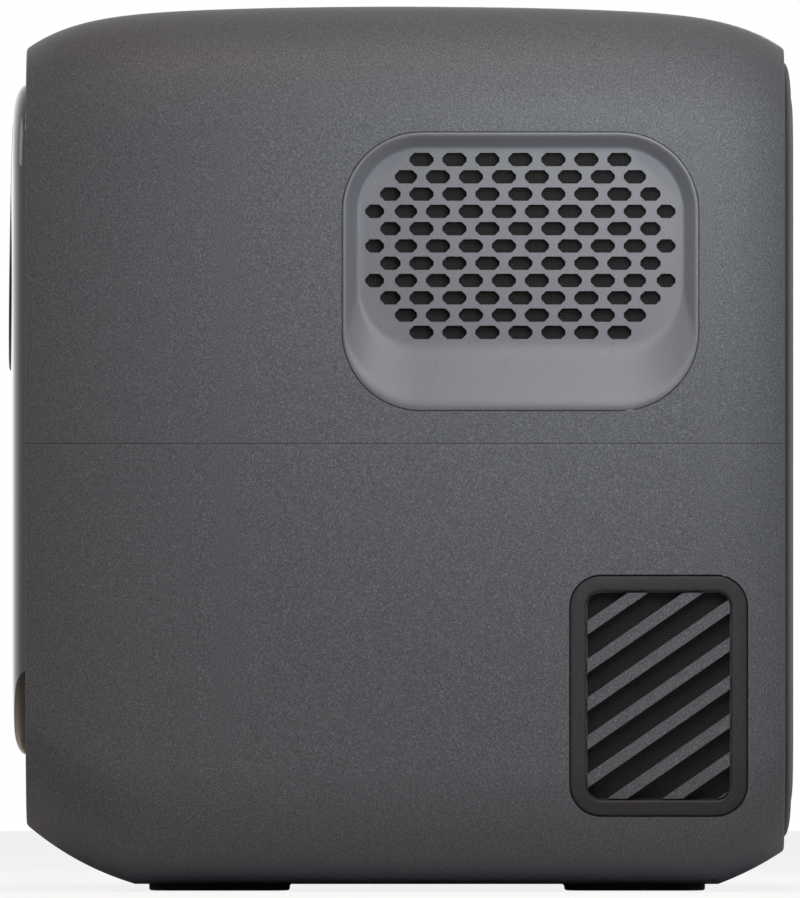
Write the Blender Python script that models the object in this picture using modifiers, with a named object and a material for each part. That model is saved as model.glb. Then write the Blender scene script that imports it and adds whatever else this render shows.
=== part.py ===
"""Compact upright projector with a folded light engine, as separate named pieces.

Metres, +Z up. The lens faces -Y. Right is +X, the side with the exhaust fan.
The origin is the middle of the footprint, on the surface that the feet stand on.
"""

import math

import bmesh
import bpy
from mathutils import Matrix, Vector

# Clearances
GAP = 0.0003
CUT_OVERRUN = 0.003

# Case sleeve: an upper and a lower shell that meet at a level parting line
SLEEVE_HALF_WIDTH = 0.0640
SLEEVE_FRONT = 0.0750
SLEEVE_REAR = 0.0771
SLEEVE_TOP = 0.1776
SLEEVE_WALL = 0.0025
SLEEVE_CORNER = 0.0240
TOP_DROP = 0.0084
SIDE_DRAW_FRONT = 0.0070
SIDE_DRAW_REAR = 0.0052
FLOOR_HEIGHT = 0.0014
FLOOR_FRONT = 0.0532
FLOOR_REAR = 0.0639
FRONT_LIP_HEIGHT = 0.0132
REAR_LIP_HEIGHT = 0.0081
CROWN_SOFT_SHARE = 0.28
CROWN_POWER = 8
FLOOR_POWER = 4
SIDE_FRONT_POWER = 5
SIDE_REAR_POWER = 16
STATION_FRONT_SHARES = (1.0, 0.955, 0.87, 0.55)
STATION_REAR_SHARES = (0.0, 0.48, 0.74, 0.905, 0.96, 1.0)
CORNER_STEPS = 5
ROUND_SIDES = 28
SMALL_ROUND_SIDES = 14

# Front frame and glossy front panel
PANEL_MARGIN_TOP = 0.0072
PANEL_MARGIN_BOTTOM = 0.0141
PANEL_MARGIN_SIDE = 0.0072
PANEL_PROUD = 0.0034
PANEL_EDGE_RISE_SHARE = 0.79
PANEL_EDGE_WIDTH = 0.0066
PANEL_DOME_WIDTH = 0.0300
PANEL_SEAT_DEPTH = 0.0012
PANEL_SKIN = 0.0020
PANEL_CORNER = 0.0168
FRAME_THICKNESS = 0.0030

# Lens ring and optics
RING_RADIUS = 0.02545
RING_MARGIN_TOP = 0.00675
RING_PROUD = 0.0036
RING_DEPTH = 0.0060
RING_LIP = 0.00185
RING_DRAW = 0.0031
RING_FRONT = SLEEVE_FRONT + RING_PROUD
RING_MOUTH_RADIUS = RING_RADIUS - RING_LIP
RING_THROAT_RADIUS = RING_MOUTH_RADIUS - RING_DRAW
LENS_HEIGHT = SLEEVE_TOP - TOP_DROP - PANEL_MARGIN_TOP - RING_MARGIN_TOP - RING_RADIUS
RING_TILT = math.radians(0.9)
RING_STEPS = 3

# Rear panel
REAR_PROUD = 0.0018
REAR_EDGE_WIDTH = 0.0068
REAR_THICKNESS = 0.0022
REAR_SEAT_DEPTH = 0.0030

# Speaker grilles
GRILLE_PLACE = 0.0241
GRILLE_CORNER_ROOM = 0.0014
GRILLE_CORNER = 0.0158
GRILLE_DISH_SIDE = 0.0033
GRILLE_DISH_TOP = 0.0034
GRILLE_DISH_BOTTOM = 0.0136
GRILLE_DISH_DEPTH = 0.0036
GRILLE_PLATE_CORNER = 0.0125
GRILLE_SKIN = 0.0018
GRILLE_RIM = 0.0020
HOLE_LENGTH = 0.00485
HOLE_HEIGHT = 0.0027
HOLE_NOSE = 0.00095
HOLE_PITCH = 0.0066
HOLE_ROW_PITCH = 0.00346
HOLE_MARGIN_SIDE = 0.000275
HOLE_MARGIN_ROW = 0.00075
HOLE_ROW_COUNTS = (7, 8, 9, 10, 9, 10, 9, 10, 9, 8, 7)
HOLE_END_SHARES = {8: (0.92,), 9: (0.845,), 10: (0.78, 0.92)}
GRILLE_PLATE_LENGTH = (max(HOLE_ROW_COUNTS) - 1) * HOLE_PITCH + HOLE_LENGTH + 2 * HOLE_MARGIN_SIDE
GRILLE_PLATE_HEIGHT = (len(HOLE_ROW_COUNTS) - 1) * HOLE_ROW_PITCH + HOLE_HEIGHT + 2 * HOLE_MARGIN_ROW
GRILLE_FRONT = GRILLE_PLATE_LENGTH / 2 + GRILLE_DISH_SIDE - GRILLE_PLACE
GRILLE_REAR = GRILLE_PLATE_LENGTH / 2 + GRILLE_DISH_SIDE + GRILLE_PLACE
GRILLE_HIGH = SLEEVE_TOP - SLEEVE_CORNER - GRILLE_CORNER_ROOM
GRILLE_LOW = GRILLE_HIGH - GRILLE_DISH_TOP - GRILLE_PLATE_HEIGHT - GRILLE_DISH_BOTTOM
HOLE_CENTRE_HEIGHT = GRILLE_HIGH - GRILLE_DISH_TOP - GRILLE_PLATE_HEIGHT / 2

# The parting line runs just below the grilles
SEAM_GRILLE_ROOM = 0.0066
SEAM_HEIGHT = GRILLE_LOW - SEAM_GRILLE_ROOM

# Vent louvres
LOUVRE_FRONT = 0.0339
LOUVRE_REAR = 0.0696
LOUVRE_LOW = 0.0152
LOUVRE_HIGH = 0.0636
LOUVRE_CORNER = 0.0064
LOUVRE_BORDER = 0.0033
LOUVRE_SUNK = 0.0003
LOUVRE_FRAME_SKIN = 0.0022
SLAT_SUNK = 0.0008
SLAT_SKIN = 0.0024
SLAT_RISE = math.radians(34.7)
SLAT_PITCH = 0.0063
SLAT_THICKNESS = 0.0023
SLAT_COUNT = 7
SLAT_FIRST_HEIGHT = 0.0542

# Feet and tripod socket
FOOT_LENGTH = 0.0283
FOOT_WIDTH = 0.0160
FOOT_CORNER = 0.0055
FOOT_FRONT_PLACE = 0.0363
FOOT_REAR_PLACE = 0.0472
FOOT_SIDE_PLACE = 0.0280
FOOT_RECESS = 0.0008
TRIPOD_PLACE = 0.0440
TRIPOD_RADIUS = 0.0048
TRIPOD_BORE = 0.0029
TRIPOD_DEPTH = 0.0095
TRIPOD_BOSS_WALL = 0.0025

# Case screws and their bosses at the parting line
SCREW_RADIUS = 0.0015
SCREW_HEAD_RADIUS = 0.0028
SCREW_HEAD_HEIGHT = 0.0022
SCREW_BITE = 0.0060
BOSS_RADIUS = 0.0040
BOSS_LENGTH = 0.0090
BOSS_FRONT_PLACE = 0.0580
BOSS_REAR_PLACE = 0.0610

# Power button
BUTTON_PLACE = 0.0180
BUTTON_RADIUS = 0.0070
BUTTON_SKIRT = 0.0014
BUTTON_SKIRT_HEIGHT = 0.0012
BUTTON_STEM_RADIUS = 0.0020
BUTTON_STEM_LENGTH = 0.0030
SWITCH_SIZE = 0.0060
SWITCH_HEIGHT = 0.0030
BUTTON_BOARD_LENGTH = 0.0280
BUTTON_BOARD_WIDTH = 0.0140
BOARD_THICKNESS = 0.0016
POST_RADIUS = 0.0025
BUTTON_BOARD_DROP = 0.0123
BUTTON_BOARD_TOP = SLEEVE_TOP - BUTTON_BOARD_DROP

# Small edges and ledges
FOOT_EDGE = 0.0004
RING_EDGE = 0.0006
GRILLE_EDGE = 0.0004
GRILLE_LEDGE = 0.0015
LOUVRE_CUT_DEPTH = 0.0060
LOUVRE_REACH = 0.0110
LOUVRE_RIM_INSET = 0.0008

# Main board, behind the rear panel and above the heat sink
SINK_HIGH = 0.0580
BOARD_SINK_ROOM = 0.0100
BOARD_REAR_ROOM = 0.0155
BOARD_HEIGHT = 0.0820
BOARD_HALF_WIDTH = 0.0360
BOARD_POST_PLACE = 0.0320
BOARD_POST_INSET = 0.0040
BOARD_POST_RADIUS = 0.0028
BOARD_LOW = SINK_HIGH + BOARD_SINK_ROOM
BOARD_HIGH = BOARD_LOW + BOARD_HEIGHT
BOARD_REAR = SLEEVE_REAR - BOARD_REAR_ROOM

# Port bay, ports and infrared window in the rear panel
PORT_RISE = 0.0300
PORT_HEIGHT = BOARD_LOW + PORT_RISE
REAR_DOME_WIDTH = 0.0040
BAY_DEPTH = 0.0035
BAY_HALF_WIDTH = 0.0360
BAY_HALF_HEIGHT = 0.0090
BAY_CORNER = 0.0040
BAY_LOW = PORT_HEIGHT - BAY_HALF_HEIGHT
BAY_HIGH = PORT_HEIGHT + BAY_HALF_HEIGHT
PORTS = (
    ("hdmi_port", -0.0230, 0.0150, 0.0062),
    ("usb_port", -0.0030, 0.0132, 0.0070),
    ("audio_jack", 0.0120, 0.0070, 0.0070),
    ("dc_inlet", 0.0260, 0.0100, 0.0100),
)
IR_SIZE = (0.0120, 0.0060)
IR_RISE = 0.0180
IR_HEIGHT = BAY_HIGH + IR_RISE

# Power board on the left wall
POWER_BOARD_STANDOFF = 0.0080
POWER_BOARD_PLACE = POWER_BOARD_STANDOFF - SLEEVE_HALF_WIDTH
POWER_BOARD_FRONT = -0.0560
POWER_BOARD_REAR = 0.0040
POWER_BOARD_LOW = 0.0260
POWER_BOARD_HIGH = 0.0700
POWER_POST_INSET = 0.0050

# Light engine
ENGINE_PLACE = -0.0080
BASE_LOW = 0.0124
BASE_THICKNESS = 0.0060
BASE_HALF = 0.0220
BASE_POST_INSET = 0.0040
LED_BOARD_HALF = 0.0200
LED_BOARD_THICKNESS = 0.0024
LED_RADIUS = 0.0070
LED_HEIGHT = 0.0010
COLLAR_HALF = 0.0200
COLLAR_HEIGHT = 0.0160
TOWER_LENS_ROOM = 0.0376
FLARE_DROP = 0.0222
TOWER_SIDE_ROOM = 0.0170
TOWER_TOP = LENS_HEIGHT - TOWER_LENS_ROOM
FLARE_TOP = TOWER_TOP - FLARE_DROP
TOWER_HALF_X = SLEEVE_HALF_WIDTH - TOWER_SIDE_ROOM
TOWER_HALF_Y = 0.0300
TOWER_CORNER = 0.0050
TOWER_WALL = 0.0020
WINDOW_DROP = 0.0147
WINDOW_HEIGHT = 0.0040
WINDOW_LOW = TOWER_TOP - WINDOW_DROP
WINDOW_HIGH = WINDOW_LOW + WINDOW_HEIGHT
CONDENSER_HEIGHT = 0.0060
CONDENSER_EDGE = 0.0020
CONDENSER_BULGE = 0.0080
FRESNEL_THICKNESS = 0.0020
FRESNEL_IN_DROP = 0.0182
FRESNEL_OUT_DROP = 0.0022
LCD_THICKNESS = 0.0022
LCD_DROP = 0.0087
MIRROR_HALF = 0.0330
MIRROR_THICKNESS = 0.0020
SPEAKER_DEPTH = 0.0225
SPEAKER_HOOD_ROOM = 0.0020
SPEAKER_BACK = SLEEVE_HALF_WIDTH - SPEAKER_DEPTH
HOOD_HALF = SPEAKER_BACK - SPEAKER_HOOD_ROOM
HOOD_WALL = 0.0018
HOOD_FRONT = 0.0330
HOOD_RISE = 0.0300

# Projection lens and its focus drive
HOLDER_BORE = RING_THROAT_RADIUS - GAP
HOLDER_WALL = 0.0020
HOLDER_LENGTH = 0.0210
HOLDER_FLANGE = 0.0020
HOLDER_FLANGE_WIDTH = 0.0060
HOLDER_FLANGE_RADIUS = HOLDER_BORE + HOLDER_FLANGE_WIDTH
BARREL_WALL = 0.0018
BARREL_LENGTH = 0.0320
BARREL_REAR = 0.0370
BARREL_SEAT = 0.0040
BARREL_STEP = 0.0016
FRONT_GLASS_BULGE = 0.0030
REAR_GLASS_BULGE = 0.0030
ARM_THICKNESS = 0.0030
ARM_HALF = 0.0035
FOCUS_FLANGE_ROOM = 0.0028
FOCUS_REACH = HOLDER_FLANGE_RADIUS + FOCUS_FLANGE_ROOM
FOCUS_ANGLE = math.radians(-37)
FOCUS_MOTOR_RADIUS = 0.0050
FOCUS_MOTOR_LENGTH = 0.0110
FOCUS_BUSH = 0.0010
FOCUS_SCREW_RADIUS = 0.0015
FOCUS_SCREW_END = 0.0705

# Cooling
FAN_SIZE = 0.0400
FAN_DEPTH = 0.0150
FAN_WALL = 0.0015
FAN_ROOM = 0.0072
FAN_INNER = SLEEVE_HALF_WIDTH - FAN_ROOM - FAN_DEPTH
FAN_HUB_SHARE = 0.46
FAN_SPOKES = 4
FAN_SPOKE_DEPTH = 0.0018
FAN_SPOKE_WIDTH = 0.0022
FAN_BLADES = 7
FAN_BLADE_THICKNESS = 0.0009
FAN_TIP_GAP = 0.0006
FAN_TWIST = math.radians(38)
BLADE_EASE_SHARE = 0.35
ENGINE_FAN_SIZE = 0.0300
ENGINE_FAN_DEPTH = 0.0100
ENGINE_FAN_WALL = 0.0012
SINK_LEFT = -0.0300
SINK_FRONT = 0.0340
SINK_REAR = 0.0700
SINK_BASE = 0.0030
FIN_COUNT = 13
FIN_THICKNESS = 0.0008
PIPE_RADIUS = 0.0030
PIPE_NEAR = 0.0080
PIPE_FAR = 0.0170
PIPE_END_INSET = 0.0030
PIPE_STEPS = 6

# Main board's heat sink and sockets
CHIP_SINK_HALF = 0.0120
CHIP_SINK_RISE = 0.0280
CHIP_SINK_HEIGHT = PORT_HEIGHT + CHIP_SINK_RISE
CHIP_SINK_BASE = 0.0020
CHIP_SINK_DEPTH = 0.0080
CHIP_SINK_FINS = 8
PORT_WALL = 0.0008
PORT_DEPTH = 0.0085
PORT_TONGUE = 0.0018
PORT_TONGUE_INSET = 0.0012
PORT_TONGUE_SIDE = 0.0012
DC_PIN = 0.0010

# Power board's tall components
COIL_SIZE = 0.0180
COIL_HEIGHT = 0.0120
CAPACITOR_PLACE = 0.0110
CAPACITOR_RADIUS = 0.0050
CAPACITOR_HEIGHT = 0.0130

# Speakers
CLOTH_THICKNESS = 0.0005
SPEAKER_MARGIN = 0.0015
SPEAKER_CORNER = 0.0050
CONE_RADIUS = 0.0155
CONE_RECESS = 0.0080
CONE_SUNK = 0.0012
CONE_DEPTH = 0.0050
CONE_DOME = 0.0016
CONE_DOME_SHARE = 0.35
CONE_ROLL = 0.0014
CONE_SKIN = 0.0006
SHARP_ANGLE = math.radians(32)


def clear_scene():
    """Remove every object, so the script can run in any open file."""
    for item in list(bpy.data.objects):
        bpy.data.objects.remove(item, do_unlink=True)


clear_scene()
PARTS = bpy.data.collections.new("projector")
CUTTERS = bpy.data.collections.new("projector_cutters")
bpy.context.scene.collection.children.link(PARTS)
bpy.context.scene.collection.children.link(CUTTERS)

# Axis frames: local X and Y run along the outline, local Z along its thickness
FACING_SIDE = Matrix(((0, 0, 1, 0), (1, 0, 0, 0), (0, 1, 0, 0), (0, 0, 0, 1)))
FACING_FRONT = Matrix(((1, 0, 0, 0), (0, 0, -1, 0), (0, 1, 0, 0), (0, 0, 0, 1)))


def finish(name, colour, roughness, metallic=0.0):
    """A Principled material with one colour, roughness and metallic value."""
    made = bpy.data.materials.new(name)
    made.use_nodes = True
    shader = made.node_tree.nodes["Principled BSDF"]
    shader.inputs["Base Color"].default_value = (*colour, 1.0)
    shader.inputs["Roughness"].default_value = roughness
    shader.inputs["Metallic"].default_value = metallic
    return made


SPACE_GREY = ("space_grey_case", (0.085, 0.092, 0.105), 0.42, 0.35)
GRILLE_GREY = ("grille_satin", (0.12, 0.13, 0.15), 0.38, 0.25)
DARK_GREY = ("dark_grey_plastic", (0.035, 0.035, 0.036), 0.5)
GLOSS_BLACK = ("gloss_black_acrylic", (0.006, 0.006, 0.007), 0.06)
BLACK_PLASTIC = ("black_plastic", (0.012, 0.012, 0.013), 0.55)
RUBBER = ("rubber", (0.02, 0.02, 0.021), 0.85)
BRASS = ("brass", (0.60, 0.42, 0.16), 0.3, 1.0)
STEEL = ("zinc_steel", (0.50, 0.50, 0.50), 0.3, 1.0)
ALUMINIUM = ("aluminium", (0.66, 0.67, 0.68), 0.35, 1.0)
COPPER = ("copper", (0.72, 0.36, 0.22), 0.3, 1.0)
GLASS = ("coated_glass", (0.55, 0.62, 0.75), 0.05)
MIRROR = ("silvered_glass", (0.85, 0.86, 0.88), 0.03, 1.0)
BOARD_GREEN = ("circuit_board", (0.02, 0.10, 0.05), 0.45)
CONE_BLACK = ("speaker_cone", (0.02, 0.02, 0.022), 0.7)
MESH_BLACK = ("speaker_cloth", (0.01, 0.01, 0.01), 0.9)


def add_part(name, mesh, look, place=None):
    """Link a mesh as a named sub-part with its own material."""
    part = bpy.data.objects.new(name, mesh)
    PARTS.objects.link(part)
    mesh.materials.clear()
    mesh.materials.append(finish(f"{name}_{look[0]}", *look[1:]))
    if place is not None:
        part.matrix_world = place
    return part


def add_cutter(name, mesh, place=None):
    """Link a mesh as a hidden wire cutter."""
    cutter = bpy.data.objects.new(name, mesh)
    CUTTERS.objects.link(cutter)
    cutter.hide_render = True
    cutter.display_type = "WIRE"
    if place is not None:
        cutter.matrix_world = place
    return cutter


def combine(part, tool, operation):
    """Add one exact Boolean modifier."""
    step = part.modifiers.new(f"{operation}_{tool.name}".lower(), "BOOLEAN")
    step.operation = operation
    step.solver = "EXACT"
    step.object = tool
    return part


def cut(part, tool):
    """Take the tool's shape out of the part."""
    return combine(part, tool, "DIFFERENCE")


def fuse(part, tool):
    """Add the tool's shape to the part."""
    return combine(part, tool, "UNION")


def keep_common(part, tool):
    """Keep what the part and the tool share."""
    return combine(part, tool, "INTERSECT")


def mesh_from(builder):
    """A mesh from a bmesh, with its faces turned outwards."""
    bmesh.ops.recalc_face_normals(builder, faces=builder.faces)
    mesh = bpy.data.meshes.new("shape")
    builder.to_mesh(mesh)
    builder.free()
    return mesh


def box_mesh(low, high):
    """A box between two corners."""
    low = Vector(low)
    high = Vector(high)
    builder = bmesh.new()
    bmesh.ops.create_cube(builder, size=1.0)
    size = high - low
    bmesh.ops.scale(builder, vec=size, verts=builder.verts)
    bmesh.ops.translate(builder, vec=(low + high) / 2, verts=builder.verts)
    return mesh_from(builder)


def rod_mesh(start, end, radius, sides, end_radius=None):
    """A cylinder, or a cone if end_radius is given, from start to end."""
    start = Vector(start)
    end = Vector(end)
    run = end - start
    builder = bmesh.new()
    far = radius if end_radius is None else end_radius
    bmesh.ops.create_cone(
        builder, cap_ends=True, segments=sides, radius1=radius, radius2=far, depth=run.length
    )
    turn = run.to_track_quat("Z", "Y").to_matrix().to_4x4()
    move = Matrix.Translation((start + end) / 2)
    bmesh.ops.transform(builder, matrix=move @ turn, verts=builder.verts)
    return mesh_from(builder)


def loft_mesh(rings):
    """A closed body through rings with the same number of points, capped at both ends."""
    builder = bmesh.new()
    rows = [[builder.verts.new(point) for point in ring] for ring in rings]
    count = len(rows[0])
    for near, far in zip(rows, rows[1:]):
        for step in range(count):
            after = (step + 1) % count
            builder.faces.new((near[step], near[after], far[after], far[step]))
    builder.faces.new(rows[0])
    builder.faces.new(rows[-1])
    return mesh_from(builder)


def rounded_outline(low, high, radius, steps=CORNER_STEPS):
    """A rounded rectangle between two corners, anticlockwise from its low right corner."""
    centres = (
        (high[0] - radius, low[1] + radius, -90),
        (high[0] - radius, high[1] - radius, 0),
        (low[0] + radius, high[1] - radius, 90),
        (low[0] + radius, low[1] + radius, 180),
    )
    outline = []
    for across, up, first in centres:
        for step in range(steps + 1):
            angle = math.radians(first + 90 * step / steps)
            outline.append((across + radius * math.cos(angle), up + radius * math.sin(angle)))
    return outline


def plate_mesh(outlines, low, high):
    """Flat outlines extruded along local Z from low to high, through a filled 2D curve."""
    curve = bpy.data.curves.new("outline", "CURVE")
    curve.dimensions = "2D"
    curve.fill_mode = "BOTH"
    curve.extrude = (high - low) / 2
    for outline in outlines:
        spline = curve.splines.new("POLY")
        spline.points.add(len(outline) - 1)
        for point, (across, up) in zip(spline.points, outline):
            point.co = (across, up, 0, 1)
        spline.use_cyclic_u = True
    guide = bpy.data.objects.new("outline", curve)
    CUTTERS.objects.link(guide)
    seen = guide.evaluated_get(bpy.context.evaluated_depsgraph_get())
    mesh = bpy.data.meshes.new_from_object(seen)
    bpy.data.objects.remove(guide, do_unlink=True)
    builder = bmesh.new()
    builder.from_mesh(mesh)
    bmesh.ops.remove_doubles(builder, verts=builder.verts, dist=GAP / 100)
    bmesh.ops.translate(builder, vec=(0, 0, (low + high) / 2), verts=builder.verts)
    return mesh_from(builder)


def turned_part(name, profile, look, sides, place, cutter=False):
    """A profile of (radius, height) points, turned about local Z with its outer side downwards."""
    mesh = bpy.data.meshes.new(name)
    around = zip(profile, [*profile[1:], profile[0]])
    turning = sum(near[0] * far[1] - far[0] * near[1] for near, far in around)
    if turning > 0:
        profile = profile[::-1]
    points = [(radius, 0, height) for radius, height in profile]
    edges = [(step, step + 1) for step in range(len(points) - 1)]
    if profile[0][0] > 0 or profile[-1][0] > 0:
        edges.append((len(points) - 1, 0))
    mesh.from_pydata(points, edges, [])
    part = add_cutter(name, mesh, place) if cutter else add_part(name, mesh, look, place)
    screw = part.modifiers.new("turn", "SCREW")
    screw.steps = sides
    screw.render_steps = sides
    screw.use_merge_vertices = True
    screw.merge_threshold = GAP / 100
    return part


def half_width(place):
    """Half the sleeve's width at a place along Y: it draws in towards both ends."""
    if place < 0:
        share = abs(place / SLEEVE_FRONT) ** SIDE_FRONT_POWER
        return SLEEVE_HALF_WIDTH - SIDE_DRAW_FRONT * share
    share = (place / SLEEVE_REAR) ** SIDE_REAR_POWER
    return SLEEVE_HALF_WIDTH - SIDE_DRAW_REAR * share


def top_height(place):
    """Height of the crowned top at a place along Y."""
    reach = SLEEVE_FRONT if place < 0 else SLEEVE_REAR
    share = abs(place / reach)
    fall = CROWN_SOFT_SHARE * share**2 + (1 - CROWN_SOFT_SHARE) * share**CROWN_POWER
    return SLEEVE_TOP - TOP_DROP * fall


def floor_height(place):
    """Height of the underside at a place along Y: flat, and swept up at both ends."""
    reach, flat, lip = (SLEEVE_FRONT, FLOOR_FRONT, FRONT_LIP_HEIGHT)
    if place >= 0:
        reach, flat, lip = (SLEEVE_REAR, FLOOR_REAR, REAR_LIP_HEIGHT)
    rise = (lip - FLOOR_HEIGHT) / (1 - (flat / reach) ** FLOOR_POWER)
    swept = lip - rise * (1 - abs(place / reach) ** FLOOR_POWER)
    return max(FLOOR_HEIGHT, swept)


def arc(centre, radius, first, last):
    """Points of an arc in X and Z, with angles in degrees."""
    points = []
    for step in range(CORNER_STEPS + 1):
        angle = math.radians(first + (last - first) * step / CORNER_STEPS)
        points.append((centre[0] + radius * math.cos(angle), centre[1] + radius * math.sin(angle)))
    return points


def half_section(place, inset, upper):
    """One skin of half the sleeve at a place along Y, from the right side to the left."""
    radius = SLEEVE_CORNER - inset
    side = half_width(place) - SLEEVE_CORNER
    if upper:
        seam = SEAM_HEIGHT + GAP / 2
        level = top_height(place) - SLEEVE_CORNER
        right = arc((side, level), radius, 0, 90)
        left = arc((-side, level), radius, 90, 180)
    else:
        seam = SEAM_HEIGHT - GAP / 2
        level = floor_height(place) + SLEEVE_CORNER
        right = arc((side, level), radius, 0, -90)
        left = arc((-side, level), radius, -90, -180)
    reach = side + radius
    return [(reach, seam), *right, *left, (-reach, seam)]


def sleeve_stations():
    """Places along Y where the sleeve has a section."""
    places = {-SLEEVE_FRONT * share for share in STATION_FRONT_SHARES}
    places |= {SLEEVE_REAR * share for share in STATION_REAR_SHARES}
    places |= {-FLOOR_FRONT, FLOOR_REAR}
    return sorted(places)


def skin_mesh(outer, inner, upper):
    """The wall of half the sleeve between two insets from its outer surface."""
    rings = []
    for place in sleeve_stations():
        outside = half_section(place, outer, upper)
        inside = half_section(place, inner, upper)[::-1]
        rings.append([(across, place, up) for across, up in outside + inside])
    return loft_mesh(rings)


def seam_bosses(upper):
    """Screw bosses inside the four corners of the parting line, with their places."""
    made = []
    for place in (-BOSS_FRONT_PLACE, BOSS_REAR_PLACE):
        reach = half_width(place) - SLEEVE_WALL - SCREW_HEAD_RADIUS - 2 * GAP
        for across in (-reach, reach):
            near = SEAM_HEIGHT + GAP / 2 if upper else SEAM_HEIGHT - GAP / 2
            far = near + BOSS_LENGTH if upper else near - BOSS_LENGTH
            made.append(((across, place, near), (across, place, far)))
    return made


def make_upper_shell():
    """Upper half of the sleeve, with the grille openings and the button hole."""
    shell = add_part("upper_shell", skin_mesh(0, SLEEVE_WALL, True), SPACE_GREY)
    for order, (near, far) in enumerate(seam_bosses(True)):
        fuse(shell, add_cutter(f"upper_boss_{order}", rod_mesh(near, far, BOSS_RADIUS, 8)))
        reach = Vector((0, 0, BOSS_LENGTH + CUT_OVERRUN))
        start = Vector(near) - Vector((0, 0, CUT_OVERRUN))
        hole = rod_mesh(start, Vector(near) + reach, SCREW_RADIUS + 2 * GAP, 6)
        cut(shell, add_cutter(f"upper_boss_hole_{order}", hole))
    outline = rounded_outline(
        (-GRILLE_FRONT - GAP, GRILLE_LOW - GAP),
        (GRILLE_REAR + GAP, GRILLE_HIGH + GAP),
        GRILLE_CORNER + GAP,
    )
    reach = SLEEVE_HALF_WIDTH + CUT_OVERRUN
    depth = SLEEVE_HALF_WIDTH - SLEEVE_WALL - CUT_OVERRUN
    cut(shell, add_cutter("grille_hole_right", plate_mesh([outline], depth, reach), FACING_SIDE))
    cut(shell, add_cutter("grille_hole_left", plate_mesh([outline], -reach, -depth), FACING_SIDE))
    low = (0, BUTTON_PLACE, SLEEVE_TOP - SLEEVE_WALL - CUT_OVERRUN)
    high = (0, BUTTON_PLACE, SLEEVE_TOP + CUT_OVERRUN)
    cut(shell, add_cutter("button_hole", rod_mesh(low, high, BUTTON_RADIUS + GAP, 24)))
    for across in (-1, 1):
        place = across * (BUTTON_BOARD_LENGTH / 2 - POST_RADIUS)
        high = (place, BUTTON_PLACE, SLEEVE_TOP - SLEEVE_WALL / 2)
        low = (place, BUTTON_PLACE, BUTTON_BOARD_TOP + GAP)
        fuse(shell, add_cutter(f"button_post_{across}", rod_mesh(low, high, POST_RADIUS, 6)))
    return shell


def foot_places():
    """Name and centre of each foot."""
    places = []
    for end, along in (("front", -FOOT_FRONT_PLACE), ("rear", FOOT_REAR_PLACE)):
        for side, across in (("left", -FOOT_SIDE_PLACE), ("right", FOOT_SIDE_PLACE)):
            places.append((f"foot_{end}_{side}", across, along))
    return places


def make_lower_shell():
    """Lower half of the sleeve, with floor bosses, louvre openings and foot recesses."""
    shell = add_part("lower_shell", skin_mesh(0, SLEEVE_WALL, False), SPACE_GREY)
    for order, (near, far) in enumerate(seam_bosses(False)):
        fuse(shell, add_cutter(f"lower_boss_{order}", rod_mesh(far, near, BOSS_RADIUS, 8)))
        start = Vector(far) - Vector((0, 0, CUT_OVERRUN))
        hole = rod_mesh(start, Vector(near) + Vector((0, 0, CUT_OVERRUN)), SCREW_RADIUS + 2 * GAP, 6)
        cut(shell, add_cutter(f"lower_boss_hole_{order}", hole))
    inside = FLOOR_HEIGHT + SLEEVE_WALL / 2
    for order, (across, along) in enumerate(engine_post_places()):
        rod = rod_mesh((across, along, inside), (across, along, BASE_LOW - GAP), POST_RADIUS, 6)
        fuse(shell, add_cutter(f"engine_post_{order}", rod))
    for order, (along, up) in enumerate(power_post_places()):
        wall = -half_width(along) + SLEEVE_WALL / 2
        rod = rod_mesh((wall, along, up), (POWER_BOARD_PLACE - GAP, along, up), POST_RADIUS, 6)
        fuse(shell, add_cutter(f"power_post_{order}", rod))
    boss_top = FLOOR_HEIGHT + TRIPOD_DEPTH
    boss = rod_mesh(
        (0, -TRIPOD_PLACE, inside),
        (0, -TRIPOD_PLACE, boss_top),
        TRIPOD_RADIUS + TRIPOD_BOSS_WALL,
        16,
    )
    fuse(shell, add_cutter("tripod_boss", boss))
    hole = rod_mesh(
        (0, -TRIPOD_PLACE, -CUT_OVERRUN),
        (0, -TRIPOD_PLACE, boss_top + CUT_OVERRUN),
        TRIPOD_RADIUS + GAP,
        16,
    )
    cut(shell, add_cutter("tripod_hole", hole))
    outline = louvre_outline(-GAP)
    reach = SLEEVE_HALF_WIDTH + CUT_OVERRUN
    depth = SLEEVE_HALF_WIDTH - SLEEVE_WALL - LOUVRE_CUT_DEPTH
    cut(shell, add_cutter("louvre_hole_right", plate_mesh([outline], depth, reach), FACING_SIDE))
    cut(shell, add_cutter("louvre_hole_left", plate_mesh([outline], -reach, -depth), FACING_SIDE))
    for name, across, along in foot_places():
        low = (across - FOOT_WIDTH / 2 - GAP, along - FOOT_LENGTH / 2 - GAP)
        high = (across + FOOT_WIDTH / 2 + GAP, along + FOOT_LENGTH / 2 + GAP)
        pocket = plate_mesh(
            [rounded_outline(low, high, FOOT_CORNER + GAP, 3)], -CUT_OVERRUN, FLOOR_HEIGHT + FOOT_RECESS
        )
        cut(shell, add_cutter(f"{name}_pocket", pocket))
    return shell


def make_feet():
    """Four rubber pads, each with a small rounded lower edge."""
    for name, across, along in foot_places():
        rings = []
        top = FLOOR_HEIGHT + FOOT_RECESS - GAP
        for inset, height in ((FOOT_EDGE, 0), (0, FOOT_EDGE), (0, top)):
            low = (across - FOOT_WIDTH / 2 + inset, along - FOOT_LENGTH / 2 + inset)
            high = (across + FOOT_WIDTH / 2 - inset, along + FOOT_LENGTH / 2 - inset)
            outline = rounded_outline(low, high, FOOT_CORNER - inset, 3)
            rings.append([(x, y, height) for x, y in outline])
        add_part(name, loft_mesh(rings), RUBBER)


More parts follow.
